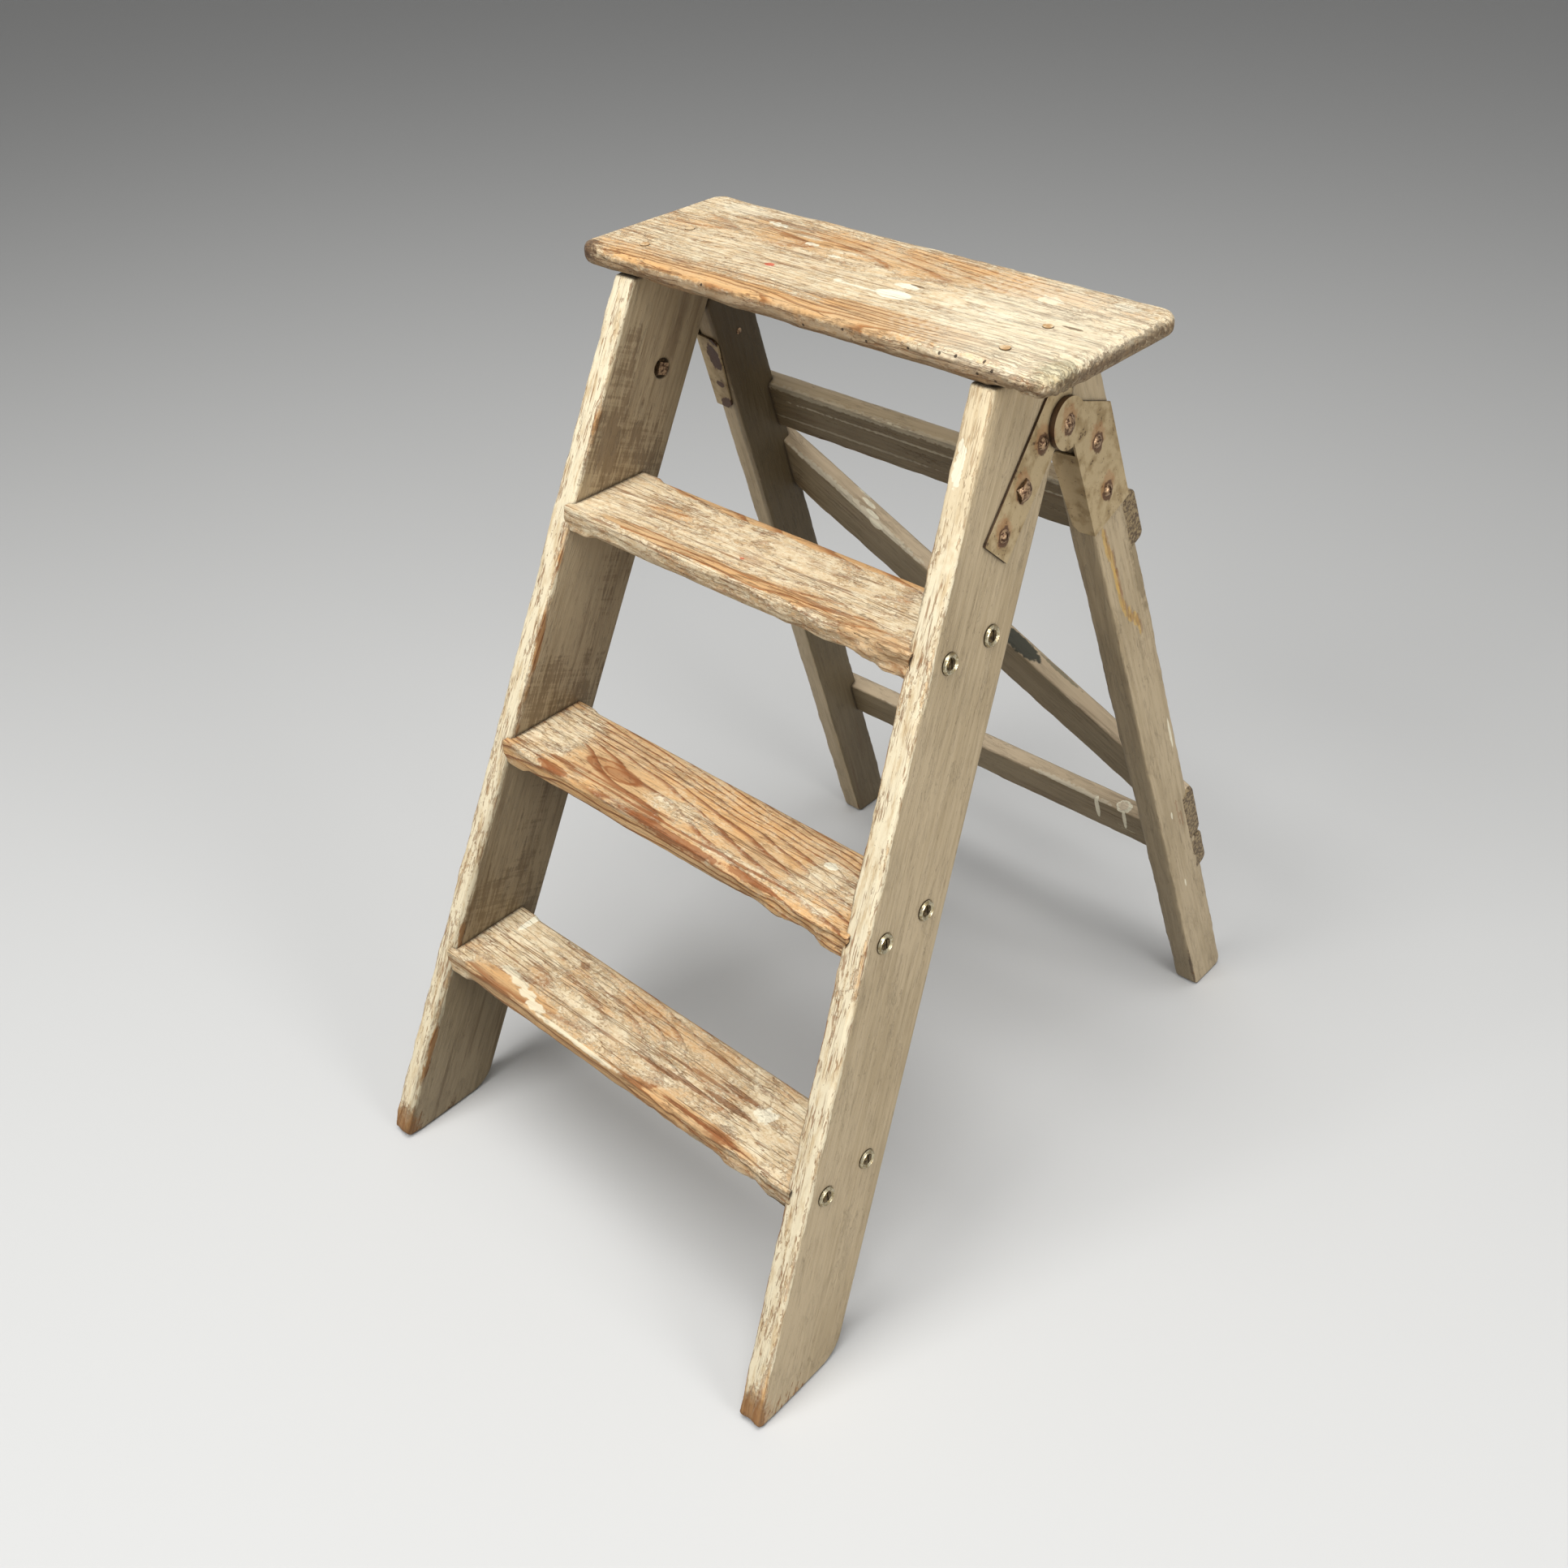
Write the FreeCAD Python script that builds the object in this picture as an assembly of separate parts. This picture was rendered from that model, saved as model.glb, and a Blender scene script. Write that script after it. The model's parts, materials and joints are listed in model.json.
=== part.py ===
import FreeCAD, Part
import math
import os

# Folding wooden step ladder, standing open.  Millimetres, +X to the right as one climbs
# it, +Y from the front frame to the rear frame, +Z up.  The origin is on the floor, in
# the middle of the footprint.

# ---- the ladder as a whole ------------------------------------------------------------
foot_width = 562.0          # over the stringers' outer faces, on the floor
top_width = 426.0           # over the same faces, under the top board
board_underside = 885.0     # height of the stringers' tops
front_lean = 23.5           # degrees that the front frame leans back
rear_lean = 20.65           # degrees that the rear frame leans forward when open
edge_radius = 2.0           # eased edges of the sawn timber

# ---- front frame ----------------------------------------------------------------------
stringer_width = 110.0
stringer_thickness = 26.0
stringer_foot_radius = 8.0
tread_tops = (234.0, 462.0, 690.0)
tread_depth = stringer_width - 8.0   # kept clear of the legs when the ladder is folded
tread_thickness = 28.0
tread_nosing = 8.0          # how far a tread stands in front of the stringers
housing_depth = 8.0         # how deep a tread's ends are let into the stringers
nosing_top_radius = 5.0
nosing_low_radius = 11.0
tread_back_radius = 8.0
nosing_stop = 30.0          # length left square at each end of the rounded nosing
board_length = 523.0
board_depth = 194.0
board_thickness = 22.0
board_front = 4.0           # how far the board stands in front of the stringers' tops
board_shift = 2.5           # board sits a little to the right of the stringers' middle
board_corner_radius = 18.0
board_edge_radius = 9.0

# ---- rear frame -----------------------------------------------------------------------
leg_width = 56.0
leg_thickness = 28.0
# The more the sides slope, the more room the brackets need to swing past the stringers:
# the legs stand outside the stringers' outer faces, and back from the pivot.
leg_proud = max(2.0, (foot_width - top_width) / 50 - 1)
leg_setback = max(6.0, (foot_width - top_width) / 40 + 1)
leg_foot_radius = 6.0
head_gap = 0.4              # between a leg's mitred head and the stringer, when open
head_clearance = 2.0        # between a leg's head and the top board
rail_thickness = 24.0
rail_notch = 12.0           # how deep the rails are let into the legs
rail_edge_radius = 8.0
upper_rail_drop = 132.0     # from the pivot down the legs to the upper rail
upper_rail_width = 59.0
lower_rail_drop = 645.0     # from the pivot down the legs to the lower rail
lower_rail_width = 54.0
brace_width = 58.0
brace_lift = 2.0            # brace's lower end, above the lower rail

# ---- hinges ---------------------------------------------------------------------------
pivot_drop = 56.0           # pivots below the top board's underside
pivot_inset = 2.0           # pivots in front of the stringers' rear edges
plate_thickness = 2.0
fold_gap = 1.6              # between the strap's raised eye and the bracket's wing
strap_width = 40.0
strap_length = 150.0
strap_tilt = 18.0           # degrees between strap and stringer
strap_offset = 17.0         # from the strap's centre line to the pivot
strap_reach = 123.5         # from the pivot down the strap to its lower end
strap_margin = 1.0          # kept between the strap and the stringer's rear edge
eye_radius = 22.5
eye_wall_reach = 9.0        # the eye's step ends this far in front of the pivot
bracket_drop = 130.5        # from the pivot down the leg to the bracket's lower end
wing_rear_height = 26.5     # from the pivot down to the wing's rear upper corner
wing_nose = (14.0, 4.0)     # wing's front upper corner, up the leg and behind its face
wing_eye_radius = 10.0
lip_top_drop = 40.0
lip_width_low = 22.0
lip_width_high = 28.0
lip_corner = 6.0
wing_margin = 1.0           # kept between the wing and the leg's rear edge
hinge_depth = 40.0          # more than the whole stack of hinge plates

# ---- fasteners ------------------------------------------------------------------------
fit = 0.05                  # radial clearance of a fastener in its own hole
pivot_fit = 0.08            # radial clearance of the bracket on its pivot rivet
rivet_radius = 4.0
rivet_head_radius = 7.5
rivet_head_height = 3.0
rivet_tail_radius = 5.2
rivet_tail_height = 1.0
rivet_tail_gap = 0.3        # between the rivet's tail and the stringer
bolt_radius = 4.0
bolt_head_width = 15.0
bolt_head_height = 6.0
bolt_bevel = 0.72           # crown's radius as a share of the head's width
bolt_up_strap = 56.5        # from the strap's lower end
nut_width = 12.0
nut_height = 5.0
nut_washer_radius = 8.5
nut_washer_thickness = 1.5
nut_recess_radius = 9.5
nut_recess_depth = 6.0
strap_screws_up = (17.0, 98.0)
bracket_nail_drop = 48.0    # clenched nail, from the pivot down the leg
bracket_screw_drop = 102.0
screw_head_radius = 6.0
screw_head_height = 3.2
screw_radius = 2.2
screw_length = 22.0
slot_width = 1.4
slot_depth = 1.2
clout_head_height = 2.2
clench_radius = 3.4
clench_height = 1.2
cup_radius = 10.0
cup_height = 3.0
cup_crest_radius = 8.2
cup_hole_radius = 3.2
cup_edge = 0.8              # washer's square outer edge
cup_floor = 0.5             # its thickness round the hole
cup_lip = (0.7, 0.4)        # inside the crest: inward and down
cup_screws_back = (30.0, tread_depth - 15.0)      # from a tread's nosing
cup_screw_head_radius = 5.6
cup_screw_crown = (0.5, 0.7)    # rise of its crown's edge and middle
cup_screw_radius = 2.6
cup_screw_length = 58.0
board_screws_back = (34.0, stringer_width - 18.0)  # from the board's front edge
board_screw_head_radius = 4.5
board_screw_head_height = 3.0
board_screw_radius = 2.2
board_screw_length = 60.0
nail_radius = 1.6
nail_head_radius = 3.8
nail_head_height = 1.2
nail_length = 62.0
nail_spread = 15.0          # nails this far either side of a rail's middle

V = FreeCAD.Vector
far = 2000.0                # larger than the ladder in every direction

# ---- the slanted frames that the pieces are set out in ---------------------------------
side_slope = (foot_width - top_width) / 2 / board_underside
side_tilt = math.atan(side_slope)
outward = V(math.cos(side_tilt), 0, math.sin(side_tilt))  # square to the right-hand side
front_angle = math.radians(front_lean)
rear_angle = math.radians(rear_lean)
leg_rearward = V(0, math.cos(rear_angle), math.sin(rear_angle))


def side_x(z, depth):
    """X at height z of the plane that lies depth inside the stringers' outer faces."""
    return foot_width / 2 - side_slope * z - depth / math.cos(side_tilt)


def on_side(y, z, depth):
    """Point of the right-hand side plane at (y, z), sunk square into it by depth."""
    return V(side_x(z, 0), y, z) - outward * depth


def on_stringer(u, v):
    """(y, z) at u up a stringer from its front foot corner and v behind its front edge."""
    y = u * math.sin(front_angle) + v * math.cos(front_angle)
    z = u * math.cos(front_angle) - v * math.sin(front_angle)
    return y, z


pivot_v = stringer_width - pivot_inset
pivot_z = board_underside - pivot_drop
pivot_y = (pivot_v + pivot_z * math.sin(front_angle)) / math.cos(front_angle)
pivot_u = (pivot_z + pivot_v * math.sin(front_angle)) / math.cos(front_angle)


def on_leg(u, v):
    """(y, z) at u up a leg from the pivot and v behind the leg's front face."""
    back = v + leg_setback
    y = pivot_y - u * math.sin(rear_angle) + back * math.cos(rear_angle)
    z = pivot_z + u * math.cos(rear_angle) + back * math.sin(rear_angle)
    return y, z


def on_strap(along, across):
    """(y, z) at along up the hinge strap from its lower end, across from its centre line."""
    tilt = math.radians(strap_tilt)
    u = pivot_u + (along - strap_reach) * math.cos(tilt)
    v = pivot_v + (along - strap_reach) * math.sin(tilt)
    side = across - strap_offset
    return on_stringer(u - side * math.sin(tilt), v + side * math.cos(tilt))


# ---- helpers --------------------------------------------------------------------------
def prism(corners, path):
    """Solid with the given flat outline, drawn out along path."""
    return Part.Face(Part.makePolygon(corners + corners[:1])).extrude(path)


def side_plate(points, depth, thickness):
    """Board or plate in the right-hand side plane, its outer face depth inside it."""
    return prism([on_side(y, z, depth) for y, z in points], outward * -thickness)


def side_disc(point, radius, depth, thickness):
    """Disc square to the right-hand side plane, its outer face depth inside it."""
    return Part.makeCylinder(radius, thickness, on_side(*point, depth), outward * -1)


def levels(low, high):
    """Everything between two heights."""
    return Part.makeBox(2 * far, 2 * far, high - low, V(-far, -far, low))


def width_block(depth):
    """Everything between the two planes that lie depth inside the side faces."""
    low, high = -far / 4, far
    corners = [V(-side_x(low, depth), -far, low), V(side_x(low, depth), -far, low),
               V(side_x(high, depth), -far, high), V(-side_x(high, depth), -far, high)]
    return prism(corners, V(0, 2 * far, 0))


def crossbar(points, depth):
    """Bar across the ladder with the (y, z) outline points, ends cut to the side planes."""
    bar = prism([V(-far / 2, y, z) for y, z in points], V(far, 0, 0))
    return bar.common(width_block(depth))


def edges_where(shape, test):
    return [edge for edge in shape.Edges if test(edge)]


def ease_board(board, foot_radius):
    """Round the two foot corners, then ease the edges all round both wide faces."""
    feet = edges_where(board, lambda e: e.BoundBox.ZMax < 0.01 and e.BoundBox.YLength < 5)
    board = board.makeFillet(foot_radius, feet)
    wide = sorted(board.Faces, key=lambda face: face.Area)[-2:]
    edges = [edge for face in wide for edge in face.Edges]
    return board.makeFillet(edge_radius, edges)


def turned(profile, base, axis):
    """Solid turned about axis: profile is (radius, height) points above base."""
    corners = [V(radius, 0, height) for radius, height in profile]
    body = Part.Face(Part.makePolygon(corners + corners[:1])).revolve(V(), V(0, 0, 1), 360)
    body.Placement = FreeCAD.Placement(base, FreeCAD.Rotation(V(0, 0, 1), axis))
    return body


def dome(radius, height, base, axis):
    """Round head: the cap of a ball, standing on base."""
    ball_radius = (radius ** 2 + height ** 2) / (2 * height)
    sunk = ball_radius - height
    rim = math.degrees(math.asin(sunk / ball_radius))
    return Part.makeSphere(ball_radius, base - axis * sunk, axis, rim, 90, 360)


def square_bar(width, height, base, axis):
    """Square prism standing on base, one diagonal upright."""
    bar = Part.makeBox(width, width, height, V(-width / 2, -width / 2, 0))
    bar.rotate(V(), V(0, 0, 1), 45 - front_lean)
    bar.Placement = FreeCAD.Placement(base, FreeCAD.Rotation(V(0, 0, 1), axis)) * bar.Placement
    return bar


def drill(shape, radius, base, axis, length):
    """Hole of the given radius from just above base, length deep along axis."""
    return shape.cut(Part.makeCylinder(radius, length + 1, base - axis, axis))


def mirrored(shape):
    return shape.mirror(V(), V(1, 0, 0))


# ---- where the fasteners go -------------------------------------------------------------
inward = outward * -1
leg_middle = leg_thickness / 2 - leg_proud
strap_face = -plate_thickness
wing_face = -leg_proud - plate_thickness
eye_face = wing_face - fold_gap - plate_thickness
pivot_axis = V(1, 0, 0)
pivot_point = V(side_x(pivot_z, 0), pivot_y, pivot_z)


def tread_front(top):
    """Y of a tread's nosing."""
    return top * math.tan(front_angle) - tread_nosing


def cup_screw_seats():
    """Right-hand points where the tread screws enter the stringer's outer face."""
    for top in tread_tops:
        for back in cup_screws_back:
            yield on_side(tread_front(top) + back, top - tread_thickness / 2, 0)


def board_screw_seats():
    """Right-hand points on the top board above the stringer."""
    top = board_underside + board_thickness
    front = board_underside * math.tan(front_angle) - board_front
    for back in board_screws_back:
        yield V(side_x(board_underside, stringer_thickness / 2), front + back, top)


def rail_nail_seats(drop, width):
    """Right-hand points on a rail's rear face where its nails go in."""
    for side in (-nail_spread, nail_spread):
        y, z = on_leg(-drop - width / 2 + side, rail_back)
        yield V(side_x(z, leg_middle), y, z)


rail_front = leg_width - rail_notch
rail_back = rail_front + rail_thickness
strap_bolt_seat = on_side(*on_strap(bolt_up_strap, 0), strap_face)
strap_screw_seats = [on_side(*on_strap(up, 0), strap_face) for up in strap_screws_up]
wing_middle = leg_width / 2
nail_seat = on_side(*on_leg(-bracket_nail_drop, wing_middle), wing_face)
bracket_screw_seat = on_side(*on_leg(-bracket_screw_drop, wing_middle), wing_face)


# ---- front frame ------------------------------------------------------------------------
def make_tread(top):
    """Tread housed in both stringers, its nosing rounded between two square stops."""
    front = tread_front(top)
    back = front + tread_depth
    low = top - tread_thickness
    outline = [(front, low), (back, low), (back, top), (front, top)]
    whole = crossbar(outline, stringer_thickness - housing_depth)
    reach = side_x(top, stringer_thickness) - nosing_stop
    middle = Part.makeBox(2 * reach, tread_depth, tread_thickness, V(-reach, front, low))
    ends = whole.cut(middle)

    def long_edge(y, z):
        return edges_where(middle, lambda e: e.BoundBox.XLength > reach
                           and abs(e.BoundBox.YMin - y) < 0.1
                           and abs(e.BoundBox.ZMin - z) < 0.1)

    rounded = middle.makeFillet(nosing_top_radius, long_edge(front, top))
    rounded = rounded.common(middle.makeFillet(nosing_low_radius, long_edge(front, low)))
    rounded = rounded.common(middle.makeFillet(tread_back_radius, long_edge(back, top)))
    tread = rounded.fuse(ends).removeSplitter()
    for seat in cup_screw_seats():
        if abs(seat.z - top) < tread_thickness:
            tread = drill_both(tread, cup_screw_radius + fit, seat, inward, cup_screw_length)
    return tread


def drill_both(shape, radius, base, axis, length):
    """The same hole on the right-hand and the left-hand side."""
    shape = drill(shape, radius, base, axis, length)
    return drill(shape, radius, V(-base.x, base.y, base.z), V(-axis.x, axis.y, axis.z), length)


def make_top_board():
    front = board_underside * math.tan(front_angle) - board_front
    board = Part.makeBox(board_length, board_depth, board_thickness,
                         V(board_shift - board_length / 2, front, board_underside))
    corners = edges_where(board, lambda e: e.BoundBox.ZLength > board_thickness / 2)
    board = board.makeFillet(board_corner_radius, corners)
    rims = edges_where(board, lambda e: e.BoundBox.ZLength < 0.1)
    board = board.makeFillet(board_edge_radius, rims)
    for seat in board_screw_seats():
        board = drill_both(board, board_screw_radius + fit, seat, V(0, 0, -1), board_thickness)
        sink = board_screw_head(seat, fit)
        board = board.cut(sink).cut(mirrored(sink))
    return board


def make_stringer(treads):
    """Right-hand stringer, cut level at floor and top, with a housing for each tread."""
    over = stringer_width
    length = board_underside / math.cos(front_angle)
    outline = [on_stringer(-over, 0), on_stringer(-over, stringer_width),
               on_stringer(length + over, stringer_width), on_stringer(length + over, 0)]
    stringer = side_plate(outline, 0, stringer_thickness)
    stringer = stringer.common(levels(0, board_underside))
    stringer = ease_board(stringer, stringer_foot_radius)
    for tread in treads:
        stringer = stringer.cut(tread)
    for seat in cup_screw_seats():
        stringer = drill(stringer, cup_screw_radius + fit, seat, inward, stringer_thickness)
    for seat in board_screw_seats():
        stringer = drill(stringer, board_screw_radius + fit, seat, V(0, 0, -1),
                         board_screw_length)
    stringer = drill(stringer, bolt_radius + fit, strap_bolt_seat, inward,
                     stringer_thickness + plate_thickness)
    recess_floor = on_side(*on_strap(bolt_up_strap, 0), stringer_thickness - nut_recess_depth)
    stringer = stringer.cut(Part.makeCylinder(nut_recess_radius, nut_recess_depth + 1,
                                              recess_floor, inward))
    for seat in strap_screw_seats:
        stringer = drill(stringer, screw_radius + fit, seat, inward, screw_length)
    return stringer


# ---- rear frame -------------------------------------------------------------------------
def make_rail(drop, width):
    """Rail across the legs' rear, its ends flush with their outer faces."""
    outline = [on_leg(-drop - width, rail_front), on_leg(-drop - width, rail_back),
               on_leg(-drop, rail_back), on_leg(-drop, rail_front)]
    bar = prism([V(-far / 2, y, z) for y, z in outline], V(far, 0, 0))
    back_y = [on_leg(u, rail_back)[0] for u in (-drop, -drop - width)]
    long_back = edges_where(bar, lambda e: e.BoundBox.XLength > far / 2
                            and min(abs(e.BoundBox.YMin - y) for y in back_y) < 0.1)
    rail = bar.makeFillet(rail_edge_radius, long_back).common(width_block(-leg_proud))
    for seat in rail_nail_seats(drop, width):
        rail = nail_hole(rail, seat)
        rail = nail_hole(rail, V(-seat.x, seat.y, seat.z))
    return rail


def brace_corners():
    """Brace's ends on the legs' outer planes: upper left and lower right, as (x, u)."""
    upper_u = -upper_rail_drop - upper_rail_width
    lower_u = -lower_rail_drop + brace_lift
    upper_x = -side_x(on_leg(upper_u, rail_front)[1], -leg_proud)
    lower_x = side_x(on_leg(lower_u, rail_front)[1], -leg_proud)
    return (upper_x, upper_u), (lower_x, lower_u)


def brace_slope():
    """Angle at which a board of the brace's width just reaches both its corners."""
    (left, high), (right, low) = brace_corners()
    diagonal = math.hypot(right - left, high - low)
    return math.atan2(high - low, right - left) - math.asin(brace_width / diagonal)


def brace_point(along, down):
    """(x, u) at along the brace from its upper left corner and down across it."""
    (left, high), slope = brace_corners()[0], brace_slope()
    return (left + along * math.cos(slope) - down * math.sin(slope),
            high - along * math.sin(slope) - down * math.cos(slope))


def at_rear(x, u, v):
    """Point of the rear frame, across at x, up the legs at u and behind them at v."""
    return V(x, *on_leg(u, v))


def make_brace():
    """Diagonal brace in the plane of the rails, let into both legs."""
    outline = [brace_point(along, down) for along, down in
               ((-far / 8, 0), (far / 2, 0), (far / 2, brace_width), (-far / 8, brace_width))]
    bar = prism([at_rear(x, u, rail_front) for x, u in outline], leg_rearward * rail_thickness)
    brace = bar.common(width_block(-leg_proud))
    for seat in brace_nail_seats():
        brace = nail_hole(brace, seat)
    return brace


def brace_nail_seats():
    """Points on the brace's rear face over the middle of each leg."""
    slope = brace_slope()
    for end in (-1, 1):
        for down in (brace_width / 3, 2 * brace_width / 3):
            x, u = brace_point(0, down)
            for _ in range(4):
                leg_x = end * side_x(on_leg(u, rail_back)[1], leg_middle)
                x, u = leg_x, u - (leg_x - x) * math.tan(slope)
            yield at_rear(x, u, rail_back)


def make_leg(crossing):
    """Right-hand rear leg: head mitred to lie on the stringer, notched for each crossing."""
    mitre_v = stringer_width + head_gap
    head_top = board_underside - head_clearance
    y0, z0 = on_leg(0, 0)
    reach = y0 * math.cos(front_angle) - z0 * math.sin(front_angle) - mitre_v
    throat = on_leg(reach / math.sin(front_angle + rear_angle), 0)
    mitre_y = (mitre_v + head_top * math.sin(front_angle)) / math.cos(front_angle)
    rear_offset = (leg_width + leg_setback) / math.cos(rear_angle)
    rear_y = pivot_y + rear_offset - (head_top - pivot_z) * math.tan(rear_angle)
    below = -pivot_z / math.cos(rear_angle) - leg_width
    outline = [on_leg(below, 0), on_leg(below, leg_width), (rear_y, head_top),
               (mitre_y, head_top), throat]
    leg = side_plate(outline, -leg_proud, leg_thickness).common(levels(0, far))
    leg = ease_board(leg, leg_foot_radius)
    for bar in crossing:
        leg = leg.cut(bar)
    for drop, width in ((upper_rail_drop, upper_rail_width), (lower_rail_drop, lower_rail_width)):
        for seat in rail_nail_seats(drop, width):
            leg = nail_hole(leg, seat)
    leg = drill(leg, nail_radius + fit, nail_seat, inward, leg_thickness + plate_thickness + 1)
    return drill(leg, screw_radius + fit, bracket_screw_seat, inward, screw_length)


# ---- hinges -----------------------------------------------------------------------------
def make_strap():
    """Strap screwed to the stringer, its eye stepped out to pass over the bracket."""
    half = strap_width / 2
    outline = [on_strap(0, -half), on_strap(strap_length, -half),
               on_strap(strap_length, half), on_strap(0, half)]
    flat = side_plate(outline, strap_face, plate_thickness)
    edge = stringer_width - strap_margin
    keep = [on_stringer(0, 0), on_stringer(0, edge), on_stringer(far, edge), on_stringer(far, 0)]
    flat = flat.common(side_plate(keep, strap_face, plate_thickness))
    pivot = (pivot_y, pivot_z)
    hollow = side_disc(pivot, eye_radius - plate_thickness, eye_face + plate_thickness, far / 8)
    rise = strap_face - eye_face
    wall = side_disc(pivot, eye_radius, eye_face, rise + plate_thickness)
    front = pivot_v - eye_wall_reach
    reach = [on_stringer(0, 0), on_stringer(0, front), on_stringer(far, front),
             on_stringer(far, 0)]
    wall = wall.common(side_plate(reach, eye_face, rise + plate_thickness)).cut(hollow)
    lid = side_disc(pivot, eye_radius, eye_face, plate_thickness)
    strap = flat.cut(hollow).fuse([wall, lid]).removeSplitter()
    strap = strap.cut(pivot_bore(rivet_radius + fit))
    strap = drill(strap, bolt_radius + fit, strap_bolt_seat, inward, plate_thickness)
    for seat in strap_screw_seats:
        strap = drill(strap, screw_radius + fit, seat, inward, plate_thickness)
    return strap


def pivot_bore(radius):
    """Cylinder on the pivot's axis, through every layer of the hinge."""
    start = pivot_point - pivot_axis * (hinge_depth / 8)
    return Part.makeCylinder(radius, hinge_depth, start, pivot_axis)


def make_bracket():
    """Bracket folded round the leg's outer front corner: a wide wing and a front lip."""
    rear = leg_width - wing_margin
    outline = [on_leg(-bracket_drop, -plate_thickness), on_leg(-bracket_drop, rear),
               on_leg(-wing_rear_height, rear), on_leg(*wing_nose),
               on_leg(wing_eye_radius, -leg_setback), on_leg(-wing_eye_radius, -leg_setback),
               on_leg(-2 * wing_eye_radius, -plate_thickness)]
    wing = side_plate(outline, wing_face, plate_thickness)
    eye = side_disc((pivot_y, pivot_z), wing_eye_radius, wing_face, plate_thickness)
    low, high = wing_face + lip_width_low, wing_face + lip_width_high
    lip_outline = [(-bracket_drop, wing_face), (-lip_top_drop, wing_face),
                   (-lip_top_drop, high - lip_corner), (-lip_top_drop - lip_corner, high),
                   (-bracket_drop + lip_corner, low), (-bracket_drop, low - lip_corner)]
    lip = prism([on_side(*on_leg(u, -plate_thickness), depth) for u, depth in lip_outline],
                on_side(*on_leg(0, 0), 0) - on_side(*on_leg(0, -plate_thickness), 0))
    bracket = wing.fuse([eye, lip]).removeSplitter()
    bracket = bracket.cut(pivot_bore(rivet_radius + pivot_fit))
    bracket = drill(bracket, nail_radius + fit, nail_seat, inward, plate_thickness)
    return drill(bracket, screw_radius + fit, bracket_screw_seat, inward, plate_thickness)


def make_pivot_rivet():
    """Rivet held in the strap's eye, its shank level, that the bracket turns on."""
    tail_depth = -rivet_tail_gap - rivet_tail_height
    pivot = (pivot_y, pivot_z)
    tail = side_disc(pivot, rivet_tail_radius, tail_depth, rivet_tail_height)
    head = dome(rivet_head_radius, rivet_head_height, on_side(*pivot, eye_face), outward)
    # The shank runs on a little into the head and into the tail.
    layers = [(pivot_y + y * far, pivot_z + z * far)
              for y, z in ((-1, -1), (1, -1), (1, 1), (-1, 1))]
    between = side_plate(layers, eye_face - 1, tail_depth - eye_face + 1.5)
    return pivot_bore(rivet_radius).common(between).fuse([tail, head]).removeSplitter()


# ---- fasteners --------------------------------------------------------------------------
def round_screw(seat):
    """Round-headed wood screw driven square into a side face."""
    head = dome(screw_head_radius, screw_head_height, seat, outward)
    slot = square_slot(seat + outward * (screw_head_height - slot_depth))
    shank = Part.makeCylinder(screw_radius, screw_length, seat, inward)
    return head.cut(slot).fuse(shank)


def square_slot(base):
    """Slot across a round head, lying askew as it was left."""
    slot = Part.makeBox(3 * screw_head_radius, slot_width, screw_head_height,
                        V(-1.5 * screw_head_radius, -slot_width / 2, 0))
    slot.Placement = FreeCAD.Placement(base, FreeCAD.Rotation(V(0, 0, 1), outward))
    return slot


def clenched_nail():
    """Clout nail through bracket and leg, its point hammered flat on the inside."""
    through = plate_thickness + leg_thickness
    head = dome(screw_head_radius, clout_head_height, nail_seat, outward)
    shank = Part.makeCylinder(nail_radius, through, nail_seat, inward)
    clench = dome(clench_radius, clench_height, nail_seat + inward * through, inward)
    return head.fuse([shank, clench]).removeSplitter()


def strap_bolt():
    """Square-headed bolt through strap and stringer, ending level with its nut."""
    length = plate_thickness + stringer_thickness - nut_recess_depth
    length += nut_washer_thickness + nut_height
    head = square_bar(bolt_head_width, bolt_head_height, strap_bolt_seat, outward)
    bevel = dome(bolt_head_width * bolt_bevel, bolt_head_height, strap_bolt_seat, outward)
    shank = Part.makeCylinder(bolt_radius, length, strap_bolt_seat, inward)
    return head.common(bevel).fuse(shank).removeSplitter()


def nut_and_washer():
    """Square nut and its washer, in the recess on the stringer's inner face."""
    floor = on_side(*on_strap(bolt_up_strap, 0), stringer_thickness - nut_recess_depth)
    washer = Part.makeCylinder(nut_washer_radius, nut_washer_thickness, floor, inward)
    nut = square_bar(nut_width, nut_height, floor + inward * nut_washer_thickness, inward)
    bore = Part.makeCylinder(bolt_radius + fit, far / 8, floor + outward, inward)
    return nut.cut(bore), washer.cut(bore)


def cup_washer(seat):
    """Turned finishing washer: a raised rim dished in to the screw."""
    profile = [(cup_hole_radius, 0), (cup_radius, 0), (cup_radius, cup_edge),
               (cup_crest_radius + cup_edge, cup_height - cup_floor),
               (cup_crest_radius, cup_height),
               (cup_crest_radius - cup_lip[0], cup_height - cup_lip[1]),
               (cup_hole_radius, cup_floor)]
    return turned(profile, seat, outward)


def cup_screw(seat):
    """Countersunk screw whose head lies in the washer's dish."""
    dish_height = cup_height - cup_lip[1] - cup_floor
    dish = dish_height / (cup_crest_radius - cup_lip[0] - cup_hole_radius)
    low = cup_floor + fit - (cup_hole_radius - cup_screw_radius) * dish
    high = low + (cup_screw_head_radius - cup_screw_radius) * dish
    edge_rise, middle_rise = cup_screw_crown
    profile = [(0, low), (cup_screw_radius, low), (cup_screw_head_radius, high),
               (cup_screw_head_radius * 0.8, high + edge_rise), (0, high + middle_rise)]
    head = turned(profile, seat, outward)
    shank = Part.makeCylinder(cup_screw_radius, cup_screw_length + low, seat + outward * low, inward)
    slot = square_slot(seat + outward * (high - 0.3))
    return head.fuse(shank).cut(slot)


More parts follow.
